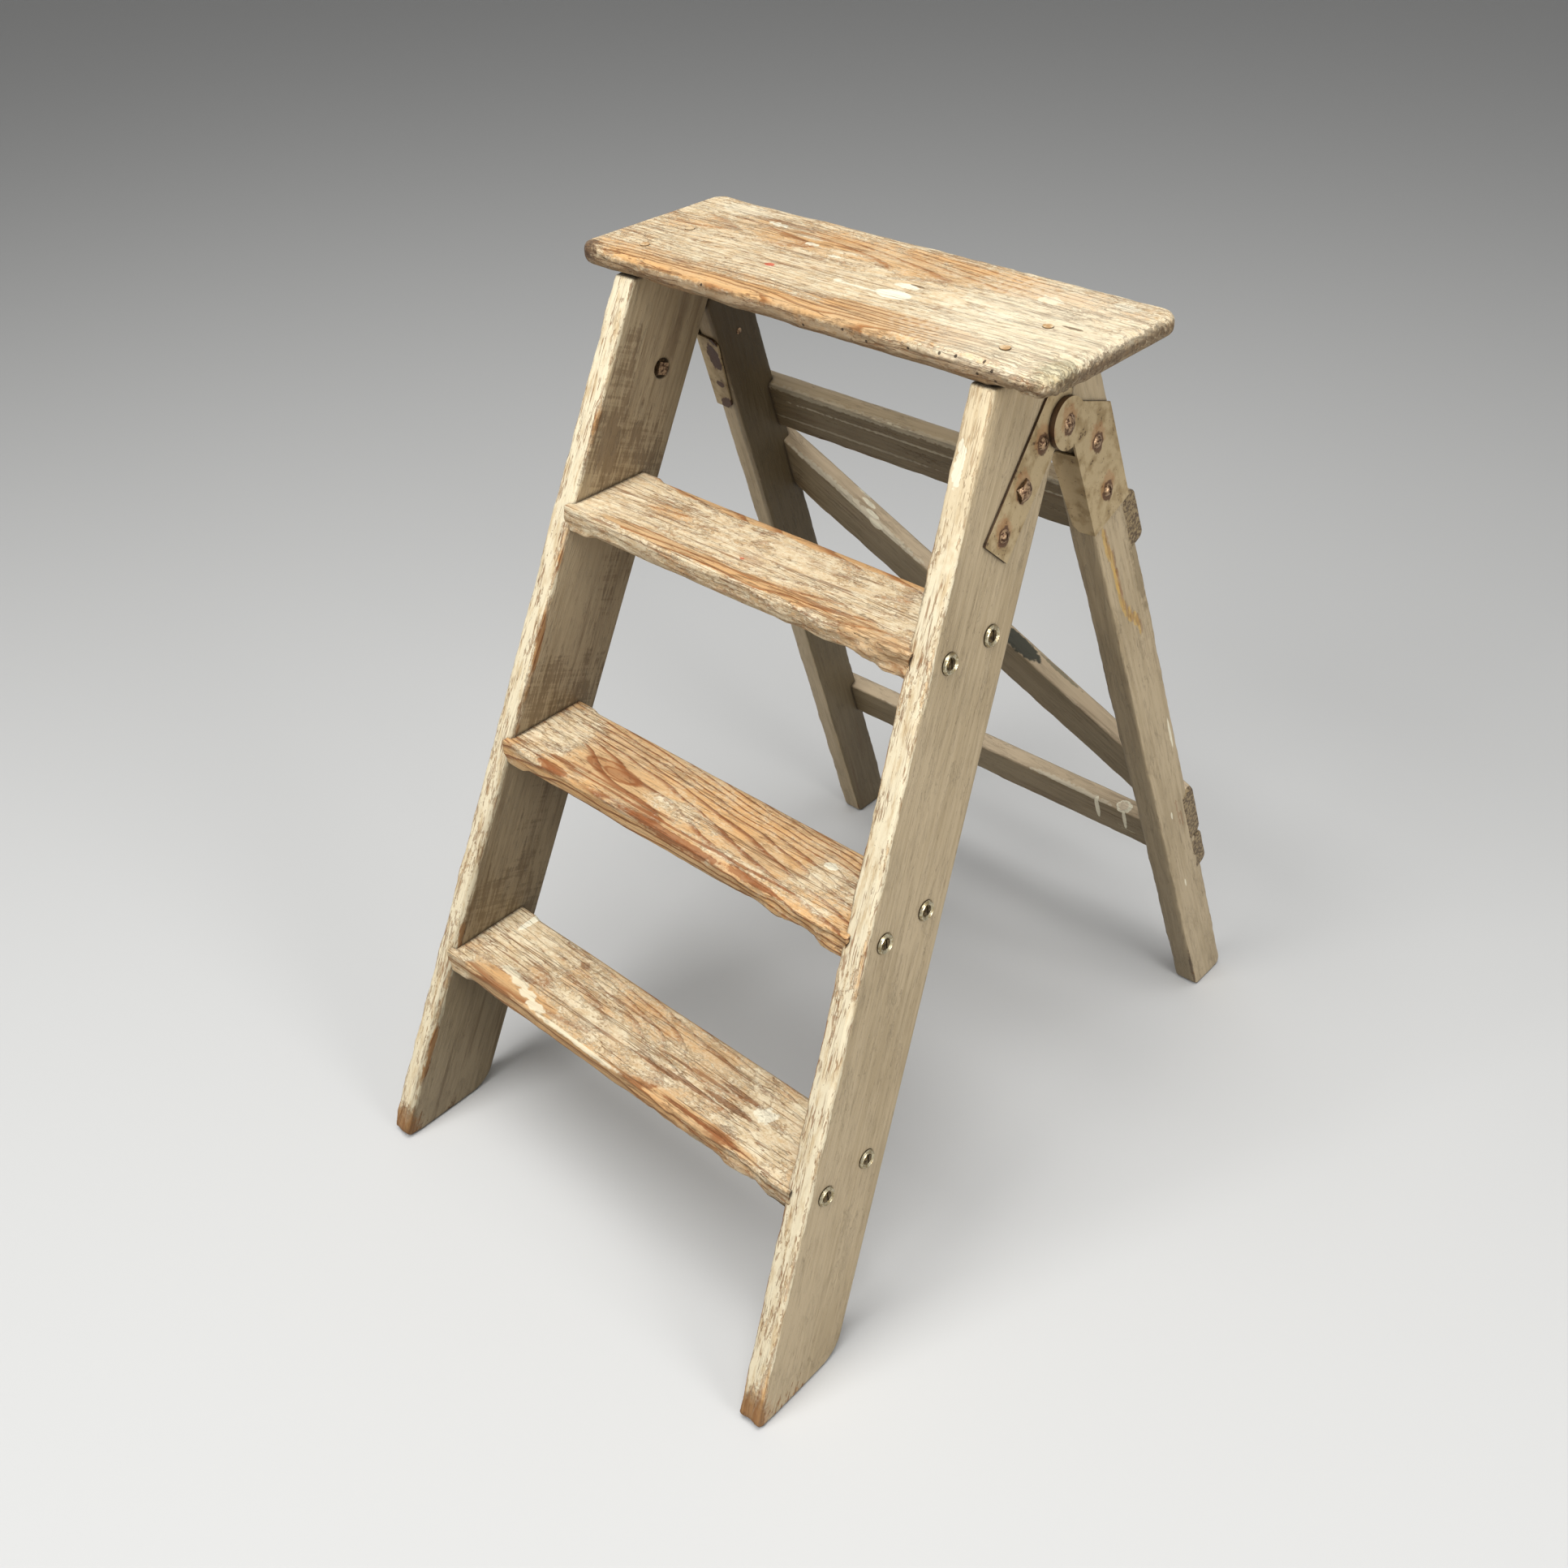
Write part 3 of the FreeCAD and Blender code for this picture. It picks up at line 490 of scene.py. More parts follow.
def painted_timber(name, matrix, width, thickness, seed, cream_front=1.0, cover=0.94,
                   dirt_in=0.3, dirt_out=0.1, inner=1, foot_wear=0.0, inner_shade=0.0,
                   front_shade=0.0, top_highlight=0.0, stains=(), marks=(), ends=()):
    """Greige paint over cream over pine; the front edge has lost its greige."""
    material, tree = new_material(name)
    half_width, half_thick = width / 2, thickness / 2
    place = board_space(tree, matrix)
    x, y, z = split(place)
    rings = use_group(grain, {"Place": place, "Pith across": seed * 0.01, "Pith below": 0.05,
                              "Slope": 0.03, "Ring": 0.005, "Knot": (9.0, 0.0, 0.0)})
    wood = tint(rings["Latewood"], WOOD_EARLY, WOOD_LATE)
    wood = tint(fade(rings["Fibre"], 0.4, 0.7, 0.0, 0.5), wood, WOOD_GREY)

    wavy = mottle(place, 30.0, 90.0, 5.0, 0.65, seed) * 0.012 - 0.006
    from_front = y + half_width + wavy
    front = fade(from_front, 0.0052, 0.0036) * cream_front
    from_arris = (half_width - abs(y)).calc("MAXIMUM", half_thick - abs(z))
    arris = fade(from_arris, 0.0045, 0.0008)
    inward = z * float(inner)
    inside = fade(inward, half_thick - 0.003, half_thick - 0.001)
    foot = fade(x, 0.075, 0.01, 0.0, foot_wear)
    # A narrow brown strip along the inner face's front arris, in places.
    strip = fade(from_front, 0.0078, 0.0055) * fade(from_front, 0.0008, 0.0022)
    strip = strip * fade(inward, half_thick - 0.004, half_thick - 0.002)
    strip = strip * fade(x, 0.86, 0.82) * cream_front
    strip = strip * fade(mottle(place, 9.0, 9.0, 2.0, 0.5, seed), 0.47, 0.56)

    old = use_group(coat, {"Place": place, "Cover": arris * -0.20 + 0.70 - foot + strip * -0.7,
                           "Seed": seed + 0.3, "Latewood": rings["Latewood"]})
    shade = mottle(place, 30.0, 160.0, 5.0, 0.7, seed + 2)
    cream = tint(fade(shade, 0.46, 0.66), CREAM, CREAM_DULL)
    colour = tint(old["Coat"].calc("MAXIMUM", old["Film"] * 0.6), wood, cream)
    colour = wash(colour, old["Rim"], 0.4, BARE)
    crazed = hairlines(place, 16.0, 260.0, 0.035, seed + 6)
    colour = wash(colour, crazed, 0.75, BARE)

    top_cover = front * -2.0 + cover + arris * -0.26 + strip * -1.0 - foot * 0.6
    new = use_group(coat, {"Place": place, "Cover": top_cover, "Seed": seed + 1.1,
                           "Latewood": rings["Latewood"]})
    brushed = mottle(place, 7.0, 210.0, 3.0, 0.6, seed + 3)
    soft = mottle(place, 4.0, 11.0, 4.0, 0.6, seed + 5)
    greige = tint(fade(brushed * 0.45 + soft * 0.55, 0.42, 0.60), GREIGE, GREIGE_DARK)
    colour = tint(new["Coat"], colour, greige)
    colour = wash(colour, new["Rim"], 0.35, BARE)
    colour = wash(colour, strip, 0.6, RUST_BROWN)
    colour = wash(colour, hairlines(place, 11.0, 190.0, 0.018, seed + 8), 0.30, DIRT)
    pits = fade(mottle(place, 420.0, 520.0, 2.0, 0.5, seed), 0.70, 0.76)
    colour = wash(colour, pits, 0.5, DIRT)

    # Painted shade on the inner face and the front; a painted highlight on the upper edge.
    front_shaded = fade(y, 0.0024 - half_width, 0.0008 - half_width, 0.0, front_shade)
    painted_shade = (inside * inner_shade).calc("MAXIMUM", front_shaded)
    colour = tint(painted_shade, colour, got(vector("MULTIPLY", colour, GLOOM)))
    # Painted highlight: the upper edge is lightened as if lit from above.
    colour = tint(fade(y, half_width - 0.0035, half_width - 0.001, 0.0, top_highlight), colour, DUST_AND_TOP_LIGHT)
    amount = inside * (dirt_in - dirt_out) + dirt_out
    dirt = use_group(grime, {"Place": place, "Amount": amount})["Dirt"]
    colour = wash(colour, dirt, 0.6, DIRT)
    if stains:
        scrub = mottle(place, 26.0, 330.0, 3.0, 0.6, seed + 4) * 0.42
        scrub = mottle(place, 300.0, 20.0, 2.0, 0.5, seed + 7) * 0.22 + scrub
        scrub = mottle(place, 24.0, 50.0, 5.0, 0.7, seed + 9) * 0.36 + scrub
        stained = zoned(place, 0.0, stains)
        stain = fade(scrub - (stained * -0.13 + 0.60), -0.025, 0.06) * fade(stained, 0.02, 0.3)
        colour = wash(colour, stain, 0.54, DIRT)
    colour = splashed(place, colour, marks)
    for point, normal in ends:
        out = got(vector("DOT_PRODUCT", got(vector("SUBTRACT", place, point)), normal), "Value")
        grit = mottle(place, 300.0, 300.0, 3.0, 0.6, seed)
        speckled = tint(fade(grit, 0.44, 0.56), END_GRAIN, END_DARK)
        colour = tint(fade(wavy * 0.25 + out, -0.0034, -0.0022, 0.0, 0.92), colour, speckled)
    height = rings["Latewood"] * 0.25 + brushed * 0.5 + old["Coat"] * 0.45 + new["Coat"] * 0.55
    finish_surface(colour, new["Coat"] * -0.22 + 0.72, crazed * -0.35 + height, 0.0007)
    return material


stringer_up = Vector((-SIDE_SLOPE * math.cos(FRONT_LEAN), math.sin(FRONT_LEAN),
                      math.cos(FRONT_LEAN)))
half_back = STRINGER_WIDTH / 2
half_thick = STRINGER_THICKNESS / 2
foot_y = FOOT_CORNER_Y + half_back * math.cos(FRONT_LEAN)
foot_z = -half_back * math.sin(FRONT_LEAN)
right_lie = lie(side_point(foot_y, foot_z, half_thick), stringer_up, -OUTWARD)
for side, matrix, inner in (("right", right_lie, 1), ("left", mirror_lie(right_lie), -1)):
    piece = block(side + "_stringer_timber", (-0.06, -half_back, -half_thick),
                  (1.06, half_back, half_thick))
    saw(piece, matrix, (0, 0, 0), (0, 0, -1))
    saw(piece, matrix, (0, 0, BOARD_UNDERSIDE), (0, 0, 1))
    round_foot(piece, matrix, FOOT_RADII, 7)
    ease_arrises(piece, 0.0028)
    # The recess for the nut, where the CAD nut is.
    low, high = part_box(side + "_bolt_nut")
    nut = matrix.inverted() @ ((low + high) / 2)
    face = inner * half_thick
    bore(piece, nut, NUT_RECESS_RADIUS,
         *sorted((face - inner * NUT_RECESS_DEPTH, face + inner * 0.005)))
    refine(piece)
    weather(piece, 0.11, 0.0007, 3.0, shift=inner)
    weather(piece, 0.010, 0.0016, 2.5, 2.6, -0.25, shift=inner * 3,
            where=lambda co: 1.2 - (abs(co.y + half_back) + (half_thick - abs(co.z))) / 0.006)
    weather(piece, 0.012, 0.005, 1.5, 1.6, 0.0, shift=inner * 5,
            where=lambda co: (0.045 - co.x) / 0.06 - (co.y + half_back) / 0.05)
    stains = [((up, 0.0, face), (0.055, 0.07, 0.006), 1.0) for up in (0.30, 0.55, 0.80)]
    stains += [((0.87, -0.035, face), (0.07, 0.018, 0.006), 0.9),
               ((0.45, 0.02, face), (0.10, 0.03, 0.006), 0.6),
               ((0.70, 0.03, face), (0.08, 0.02, 0.006), 0.7)]
    marks = [((0.006, 0.004 - half_back, 0.0), (0.016, 0.010, 0.03), 2.6, 1.4, 0.65,
              paint(172, 126, 82))]
    if side == "left":
        # Painted shade: a broad dark patch low on the left stringer's inner face.
        marks += [((0.12, 0.0, face), (0.34, 0.09, 0.006), 0.3, 0.8, 0.34, SHADE_BROWN)]
    else:
        # First, painted shade dulling the cream at the top of the front edge; then a white
        # splash.
        marks += [((0.955, -half_back, 0.0), (0.080, 0.008, 0.03), 1.6, 0.8, 0.55, CREAM_DULL),
                  ((0.907, -half_back, 0.004), (0.019, 0.010, 0.0042), 2.2, 0.2, 0.8,
                   WHITE_SPLASH)]
    marks += [((0.006, -half_back, 0.0), (0.030, 0.010, 0.020), 1.6, 0.6, 0.55,
               paint(112, 78, 42))]
    # Painted shade darkens the inner face a little.
    material = painted_timber(side + "_stringer_paint", matrix, STRINGER_WIDTH,
                              STRINGER_THICKNESS, 2.0 + inner, inner=inner, dirt_in=0.6,
                              dirt_out=0.1, foot_wear=0.7, inner_shade=0.24, stains=stains,
                              marks=marks)
    fix(piece, matrix, "front_frame", [side + "_stringer"], material)

# ---- Treads ---------------------------------------------------------------------------
# Three pine treads, 28 mm thick, let 8 mm into the stringers.  The nosing was rounded
# between two square stops.  Feet have worn most of the paint off and raised the grain.
TREAD_THICKNESS = 0.028
TREAD_END_DEPTH = 0.018     # a tread ends this far inside the stringer's outer face
NOSING_STOP = 0.030


def worn_pine(name, matrix, seed, pith, slope, skew, ring, knot, swell, cover, early, late,
              zones=(), marks=(), knots=(), under=-0.0115):
    """Trodden pine: cream paint in flakes and film, hair cracks, grime and bare wood."""
    material, tree = new_material(name)
    place = board_space(tree, matrix)
    rings = use_group(grain, {"Place": place, "Pith across": pith[0], "Pith below": pith[1],
                              "Slope": slope, "Skew": skew, "Ring": ring, "Knot": knot,
                              "Knot swell": swell})
    weathered = mottle(place, 6.0, 24.0, 4.0, 0.6, seed + 1)
    wood = tint(rings["Latewood"], tint(fade(weathered, 0.42, 0.60), early, TAN), late)
    wood = tint(fade(rings["Fibre"], 0.42, 0.7, 0.0, 0.5), wood, WOOD_GREY)
    for centre, size, shade in knots:
        heart = use_group(mark, {"Place": place, "Centre": centre, "Size": size,
                                 "Ragged": 0.22, "Soft": 0.1})
        wood = wash(wood, heart["Mark"], 0.38, shade)
        wood = wash(wood, heart["Rim"], 0.7, shade)

    cover = zoned(place, cover, zones)
    cover = cover + fade(split(place)[2], under, under - 0.002)
    squat = got(vector("MULTIPLY", place, (2.0, 0.9, 0.9)))
    old = use_group(coat, {"Place": squat, "Cover": cover, "Seed": seed,
                           "Latewood": rings["Latewood"]})
    shade = mottle(place, 70.0, 150.0, 6.0, 0.75, seed + 2)
    cream = tint(fade(shade, 0.36, 0.64), CREAM, CREAM_DULL)
    film = old["Film"] * fade(rings["Fibre"], 0.36, 0.60, 0.95, 0.45) * 0.75
    worn = mottle(place, 60.0, 200.0, 4.0, 0.7, seed + 6)
    solid = old["Coat"] * fade(worn, 0.40, 0.60, 0.95, 0.62)
    colour = tint(solid.calc("MAXIMUM", film), wood, cream)
    colour = wash(colour, old["Rim"], 0.22, BARE)

    dust = mottle(place, 260.0, 430.0, 3.0, 0.65, seed + 3)
    colour = wash(colour, fade(dust, 0.53, 0.62) * fade(cover, 0.05, 0.6), 0.45, CREAM)
    specks = fade(mottle(place, 300.0, 500.0, 2.0, 0.6, seed + 4), 0.39, 0.33)
    colour = wash(colour, specks, 0.35, RUST_BROWN)
    cracks = hairlines(place, 26.0, 300.0, 0.016, seed + 5) * 0.5
    for along, across, width, shift in ((7.0, 90.0, 0.012, 9), (3.0, 130.0, 0.022, 12)):
        cracks = cracks.calc("MAXIMUM", hairlines(place, along, across, width, seed + shift))
    colour = wash(colour, cracks, 0.7, RUST_BROWN)
    colour = wash(colour, use_group(grime, {"Place": place, "Amount": 0.25})["Dirt"], 0.28,
                  RUST_BROWN)
    colour = splashed(place, colour, marks)
    height = rings["Latewood"] * 0.8 + rings["Fibre"] * 0.4 + old["Coat"] * 0.5
    finish_surface(colour, 0.72, height + cracks * -0.9 + dust * 0.5, 0.0008)
    return material


ORANGE = paint(214, 168, 112)
HONEY = paint(206, 162, 110)
TAN = paint(204, 168, 122)
BROWN_LATE = paint(138, 82, 42)
RUST_RED = paint(142, 86, 46)
FLAT = 1.0                  # a mark this deep goes right through the board


def on_top(*places):
    """Points on a tread's upper face."""
    return [(along, across, 0.014) for along, across in places]


tread_looks = {
    "upper": dict(
        seed=1.4, pith=(0.02, 0.035), slope=0.10, skew=0.0, ring=0.0060, knot=(0.0, 0.016, 0),
        swell=0.012, cover=0.60, early=HONEY, late=paint(158, 104, 58),
        zones=[((0.0, 0.047, 0.010), (0.20, 0.010, 0.012), -0.75),
               ((-0.04, -0.040, 0.013), (0.16, 0.0065, 0.008), -0.75),
               ((-0.12, 0.004, 0.014), (0.035, 0.010, 0.02), -0.25),
               ((0.10, -0.034, 0.014), (0.075, 0.012, 0.02), -0.42),
               ((0.06, -0.012, 0.014), (0.12, 0.016, 0.02), 0.12),
               ((-0.19, 0.0, 0.014), (0.045, 0.06, 0.02), 0.38),
               ((0.0, -0.052, 0.0), (0.22, 0.004, 0.010), -0.10),
               ((0.17, -0.052, 0.0), (0.05, 0.020, 0.03), -0.28)],
        marks=[((-0.006, -0.017, 0.014), (0.0022, 0.0016, 0.01), 0.3, 0.3, 0.8,
                paint(206, 96, 66)),
               ((0.005, -0.014, 0.014), (0.013, 0.005, 0.01), 2.0, 0.3, 0.4, RUST_BROWN),
               ((0.172, -0.045, 0.008), (0.030, 0.008, 0.012), 2.4, 0.6, 0.45,
                paint(190, 156, 114))]),
    "middle": dict(
        seed=5.2, pith=(-0.036, 0.020), slope=0.055, skew=0.09, ring=0.0068,
        knot=(-0.101, -0.012, 0), swell=0.006, cover=0.20, early=ORANGE, late=BROWN_LATE,
        knots=[((-0.101, -0.012, 0.014), (0.038, 0.0105, FLAT), BROWN_LATE),
               ((-0.090, -0.013, 0.014), (0.024, 0.0060, FLAT), BROWN_LATE)],
        zones=[((-0.19, 0.0, 0.014), (0.034, 0.06, 0.02), 0.46),
               ((-0.098, -0.012, 0.014), (0.050, 0.018, 0.02), -0.5),
               ((-0.01, -0.017, 0.014), (0.060, 0.010, 0.02), 0.34),
               ((0.175, -0.005, 0.014), (0.045, 0.030, 0.02), 0.34),
               ((0.10, -0.035, 0.014), (0.10, 0.007, 0.02), 0.30),
               ((0.0, -0.054, -0.002), (0.24, 0.007, 0.011), -0.45)],
        marks=streak(on_top((-0.165, -0.030), (-0.140, -0.036), (-0.105, -0.036),
                            (-0.060, -0.036), (-0.01, -0.038), (0.05, -0.037),
                            (0.11, -0.035), (0.15, -0.034)),
                     0.0010, 0.8, 0.4, 0.75, BROWN_LATE)
        + streak(on_top((-0.14, -0.028), (-0.105, -0.030), (-0.055, -0.029), (-0.01, -0.031)),
                 0.0009, 0.8, 0.4, 0.65, BROWN_LATE)
        + [((-0.153, -0.046, 0.013), (0.018, 0.004, 0.01), 0.9, 0.3, 0.75, RUST_RED),
           ((0.012, -0.046, 0.012), (0.058, 0.0035, 0.01), 1.1, 0.3, 0.8, RUST_RED),
           ((0.112, -0.044, 0.012), (0.026, 0.0035, 0.01), 1.0, 0.3, 0.75, RUST_RED),
           ((0.155, 0.016, 0.014), (0.006, 0.004, 0.01), 1.2, 0.3, 0.9, WHITE_SPLASH)]),
    "lower": dict(
        seed=8.7, pith=(-0.02, 0.030), slope=0.09, skew=0.03, ring=0.0085,
        knot=(0.08, 0.005, 0), swell=0.015, cover=0.46, early=HONEY, late=paint(150, 100, 58),
        zones=[((-0.20, 0.02, 0.014), (0.055, 0.04, 0.02), 0.48),
               ((-0.145, -0.042, 0.012), (0.060, 0.013, 0.016), -0.95),
               ((-0.02, -0.051, 0.004), (0.20, 0.006, 0.014), -0.80),
               ((0.12, -0.042, 0.013), (0.070, 0.007, 0.010), -0.70),
               ((0.0, -0.013, 0.014), (0.13, 0.008, 0.02), 0.20),
               ((0.19, 0.0, 0.014), (0.05, 0.04, 0.02), 0.25),
               ((0.03, 0.028, 0.014), (0.09, 0.012, 0.02), -0.22),
               ((0.0, 0.052, 0.010), (0.22, 0.006, 0.012), -0.5)],
        marks=streak(on_top((-0.176, -0.023), (-0.154, -0.028), (-0.136, -0.033),
                            (-0.118, -0.039)) + [(-0.100, -0.046, 0.013)],
                     0.0030, 1.3, 0.4, 0.9, CREAM)
        + streak([(-0.092, -0.047, 0.012), (-0.050, -0.048, 0.012), (0.006, -0.048, 0.012)],
                 0.0016, 1.0, 0.4, 0.85, CREAM)
        + streak(on_top((0.020, -0.020), (0.065, -0.018), (0.110, -0.013), (0.155, -0.005)),
                 0.0010, 0.9, 0.4, 0.75, RUST_BROWN)
        + streak(on_top((0.045, 0.0), (0.080, 0.001), (0.115, 0.005), (0.150, 0.012)),
                 0.0009, 0.9, 0.4, 0.7, RUST_BROWN)
        + streak(on_top((-0.06, 0.020), (-0.02, 0.018), (0.025, 0.018)),
                 0.0009, 0.9, 0.4, 0.6, RUST_BROWN)
        + streak(on_top((0.085, -0.040), (0.130, -0.041), (0.175, -0.043)),
                 0.0014, 1.0, 0.4, 0.8, RUST_RED)
        + [((-0.113, 0.031, 0.014), (0.006, 0.004, 0.01), 1.6, 0.4, 0.6, RUST_BROWN),
           ((-0.210, 0.040, 0.014), (0.0038, 0.017, 0.01), 0.8, 0.2, 1.0, WHITE_SPLASH),
           ((0.168, 0.004, 0.014), (0.009, 0.007, 0.01), 2.8, 0.4, 0.8, WHITE_SPLASH)]),
}
for height_name, looks in tread_looks.items():
    low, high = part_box(height_name + "_tread")
    middle_z = (low.z + high.z) / 2
    half_y, half_z = (high.y - low.y) / 2, TREAD_THICKNESS / 2
    matrix = Matrix.Translation((0, (low.y + high.y) / 2, middle_z))
    piece = block(height_name + "_tread_timber", (-0.3, -half_y, -half_z),
                  (0.3, half_y, half_z))
    end = side_point(0, middle_z, TREAD_END_DEPTH).x
    for way in (1, -1):
        saw(piece, matrix, (way * end, 0, middle_z), (way * OUTWARD.x, 0, OUTWARD.z))
    reach = side_point(0, high.z, STRINGER_THICKNESS).x - NOSING_STOP
    for way in (1, -1):
        open_mesh(piece, "VERT")
        bpy.ops.mesh.select_all(action="SELECT")
        bpy.ops.mesh.bisect(plane_co=(way * reach, 0, 0), plane_no=(1, 0, 0))
        bpy.ops.object.mode_set(mode="OBJECT")
    for y_edge, z_edge, radius in ((-half_y, half_z, 0.0055), (-half_y, -half_z, 0.011),
                                   (half_y, half_z, 0.008)):
        def at_edge(a, b):
            return (abs(a.y - y_edge) < NEAR and abs(b.y - y_edge) < NEAR
                    and abs(a.z - z_edge) < NEAR and abs(b.z - z_edge) < NEAR
                    and abs(a.x + b.x) < reach)

        round_edges(piece, radius, 5, at_edge)
    ease_arrises(piece, 0.0012)
    refine(piece, 0.0019)
    seed = looks["seed"]
    weather(piece, 0.09, 0.0016, 2.0, shift=seed)
    weather(piece, 0.012, 0.0016, 5.0, 2.0, -0.1, shift=seed + 2,
            where=lambda co: 1.3 - abs(co.y + half_y) / 0.012)
    weather(piece, 0.016, 0.0045, 2.0, 2.2, -0.15, shift=seed + 4,
            where=lambda co: ((1.2 - abs(co.y + half_y) / 0.014)
                              * min(1, max(0, (co.x - 0.02) / 0.1))))
    material = worn_pine(height_name + "_tread_surface", matrix, **looks)
    fix(piece, matrix, "front_frame", [height_name + "_tread"], material)

# ---- Top board ------------------------------------------------------------------------
# The board one leans on or stands a pot on: 22 mm pine with every edge rounded over,
# screwed down into the stringers.  Cream paint has worn to the wood at every edge.
low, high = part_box("top_board")
centre = (low + high) / 2
half = (high - low) / 2
matrix = Matrix.Translation(centre)
piece = block("top_board_timber", -half, half)


def upright(a, b):
    return abs(a.z - b.z) > 0.01


def round_the_rim(a, b):
    return abs(a.z - b.z) < 1e-5 and abs(abs(a.z) - half.z) < 1e-5


round_edges(piece, 0.017, 6, upright)
round_edges(piece, 0.009, 5, round_the_rim)
refine(piece, 0.0021)
weather(piece, 0.12, 0.0014, 2.0)
weather(piece, 0.014, 0.0022, 3.0, 2.0, -0.1, shift=3.0,
        where=lambda co: 1.2 - (half.y - abs(co.y)) / 0.012)
weather(piece, 0.012, 0.004, 1.0, 2.0, -0.1, shift=5.0,
        where=lambda co: 1.3 - Vector((co.x - half.x, co.y + half.y, 0)).length / 0.06)
SPLAT = paint(240, 232, 206)
RED = paint(206, 92, 66)
WORM_HOLE = paint(52, 38, 26)
material = worn_pine(
    "top_board_surface", matrix, seed=12.0, pith=(0.02, 0.06), slope=0.05, skew=0.02,
    ring=0.0045, knot=(0.09, 0.01, 0), swell=0.004, cover=0.56, early=ORANGE,
    late=paint(160, 108, 60), under=-0.0085,
    zones=[((0.05, 0.055, 0.011), (0.19, 0.030, 0.02), -0.34),
           ((-0.15, 0.030, 0.011), (0.10, 0.020, 0.02), -0.20),
           ((-0.03, -0.088, 0.009), (0.21, 0.010, 0.010), -0.60),
           ((0.105, -0.068, 0.011), (0.095, 0.017, 0.010), -0.72),
           ((-0.17, -0.075, 0.010), (0.07, 0.014, 0.02), -0.30),
           ((0.0, -0.030, 0.011), (0.20, 0.028, 0.02), 0.30),
           ((0.17, -0.02, 0.011), (0.08, 0.06, 0.02), 0.26),
           ((0.262, 0.0, 0.0), (0.012, 0.10, 0.03), 0.25),
           ((-0.05, -0.098, 0.0), (0.3, 0.005, 0.008), 0.20)],
    marks=[((0.056, -0.024, 0.011), (0.016, 0.009, 0.01), 0.5, 0.15, 0.95, SPLAT),
           ((0.053, -0.002, 0.011), (0.011, 0.005, 0.01), 1.2, 0.15, 0.95, SPLAT),
           ((0.026, -0.028, 0.011), (0.026, 0.0012, 0.01), 0.8, 0.3, 0.9, SPLAT),
           ((-0.003, -0.026, 0.011), (0.004, 0.003, 0.01), 1.8, 0.3, 0.7, SPLAT),
           ((-0.145, 0.055, 0.011), (0.009, 0.004, 0.01), 2.8, 0.3, 0.75, SPLAT),
           ((-0.083, 0.031, 0.011), (0.007, 0.003, 0.01), 2.6, 0.3, 0.7, SPLAT),
           ((-0.045, 0.018, 0.011), (0.006, 0.0025, 0.01), 1.6, 0.3, 0.8, SPLAT),
           ((0.165, 0.045, 0.011), (0.010, 0.007, 0.01), 3.2, 0.4, 0.5, SPLAT),
           ((0.225, 0.070, 0.011), (0.010, 0.006, 0.01), 3.0, 0.4, 0.5, SPLAT),
           ((0.150, -0.010, 0.011), (0.014, 0.006, 0.01), 3.4, 0.4, 0.4, SPLAT),
           ((-0.200, 0.070, 0.011), (0.022, 0.010, 0.01), 3.4, 0.6, 0.35, SPLAT),
           ((0.195, -0.015, 0.011), (0.060, 0.075, 0.01), 2.6, 1.0, 0.35, SPLAT),
           # painted shade along the lower half of the front nosing
           ((0.0, -0.099, -0.004), (0.30, 0.008, 0.0070), 1.8, 0.8, 0.66, paint(112, 82, 52)),
           ((-0.076, -0.033, 0.011), (0.0045, 0.003, 0.01), 0.8, 0.3, 0.85, RED),
           ((0.060, 0.004, 0.011), (0.006, 0.0015, 0.01), 0.8, 0.3, 0.8, DIRT),
           ((0.215, 0.004, 0.011), (0.010, 0.0018, 0.01), 1.4, 0.3, 0.8, DIRT),
           ((0.252, -0.070, 0.008), (0.010, 0.016, 0.01), 2.6, 0.8, 0.28,
            paint(136, 140, 92)),
           # painted shade along the lower half of the right-hand end
           ((0.262, -0.020, -0.005), (0.009, 0.110, 0.0065), 2.2, 0.8, 0.66, DIRT),
           ((0.260, 0.010, 0.002), (0.005, 0.080, 0.004), 3.4, 0.3, 0.5, DIRT),
           ((-0.250, -0.088, 0.004), (0.014, 0.010, 0.007), 1.4, 0.5, 0.85,
            paint(84, 58, 38))]
    + [((x, -0.094, z), (0.0012, 0.0060, 0.0011), 0.2, 0.2, 0.9, WORM_HOLE)
       for x, z in ((0.060, 0.002), (0.085, -0.002), (0.158, 0.006), (0.173, 0.007),
                    (0.198, 0.008), (0.208, 0.004), (0.195, -0.001), (0.212, -0.003),
                    (0.128, 0.003), (0.018, -0.004), (-0.100, 0.004))])
fix(piece, matrix, "front_frame", ["top_board"], material)

# ---- Screws and cup washers -----------------------------------------------------------
# Six turned, nickelled cup washers a side, each round the countersunk screw that holds a
# tread, and the rusty bolts, nuts and screws of the hinges.
frame_nodes = frame["nodes"]


def dress(node, material):
    slots = frame_nodes[node].data.materials
    slots.clear()
    slots.append(material)


def metal(name, bright, dull, metallic, smooth, rough, scale, hollow=0.0):
    """Bare metal, dulled in patches, with painted shade where it lies in a hollow."""
    material, tree = new_material(name)
    patches = noise(got(put(tree, "TexCoord"), "Object"), scale, 6.0, 0.65)
    colour = tint(fade(patches, 0.42, 0.6), bright, dull)
    # Painted shade: darker where nearby walls shut the light out.
    hollow_shade = fade(crevices(tree, 0.012, 8), 0.90, 0.55, 0.0, hollow)
    relief = put(tree, "Bump", {"Height": patches, "Distance": 0.0004, "Strength": 0.6})
    shader = put(tree, "BsdfPrincipled",
                 {"Base Color": tint(hollow_shade, colour, SHADE_BROWN), "Metallic": metallic,
                  "Roughness": fade(patches, 0.35, 0.65, smooth, rough),
                  "Normal": got(relief)})
    put(tree, "OutputMaterial", {0: got(shader)})
    return material


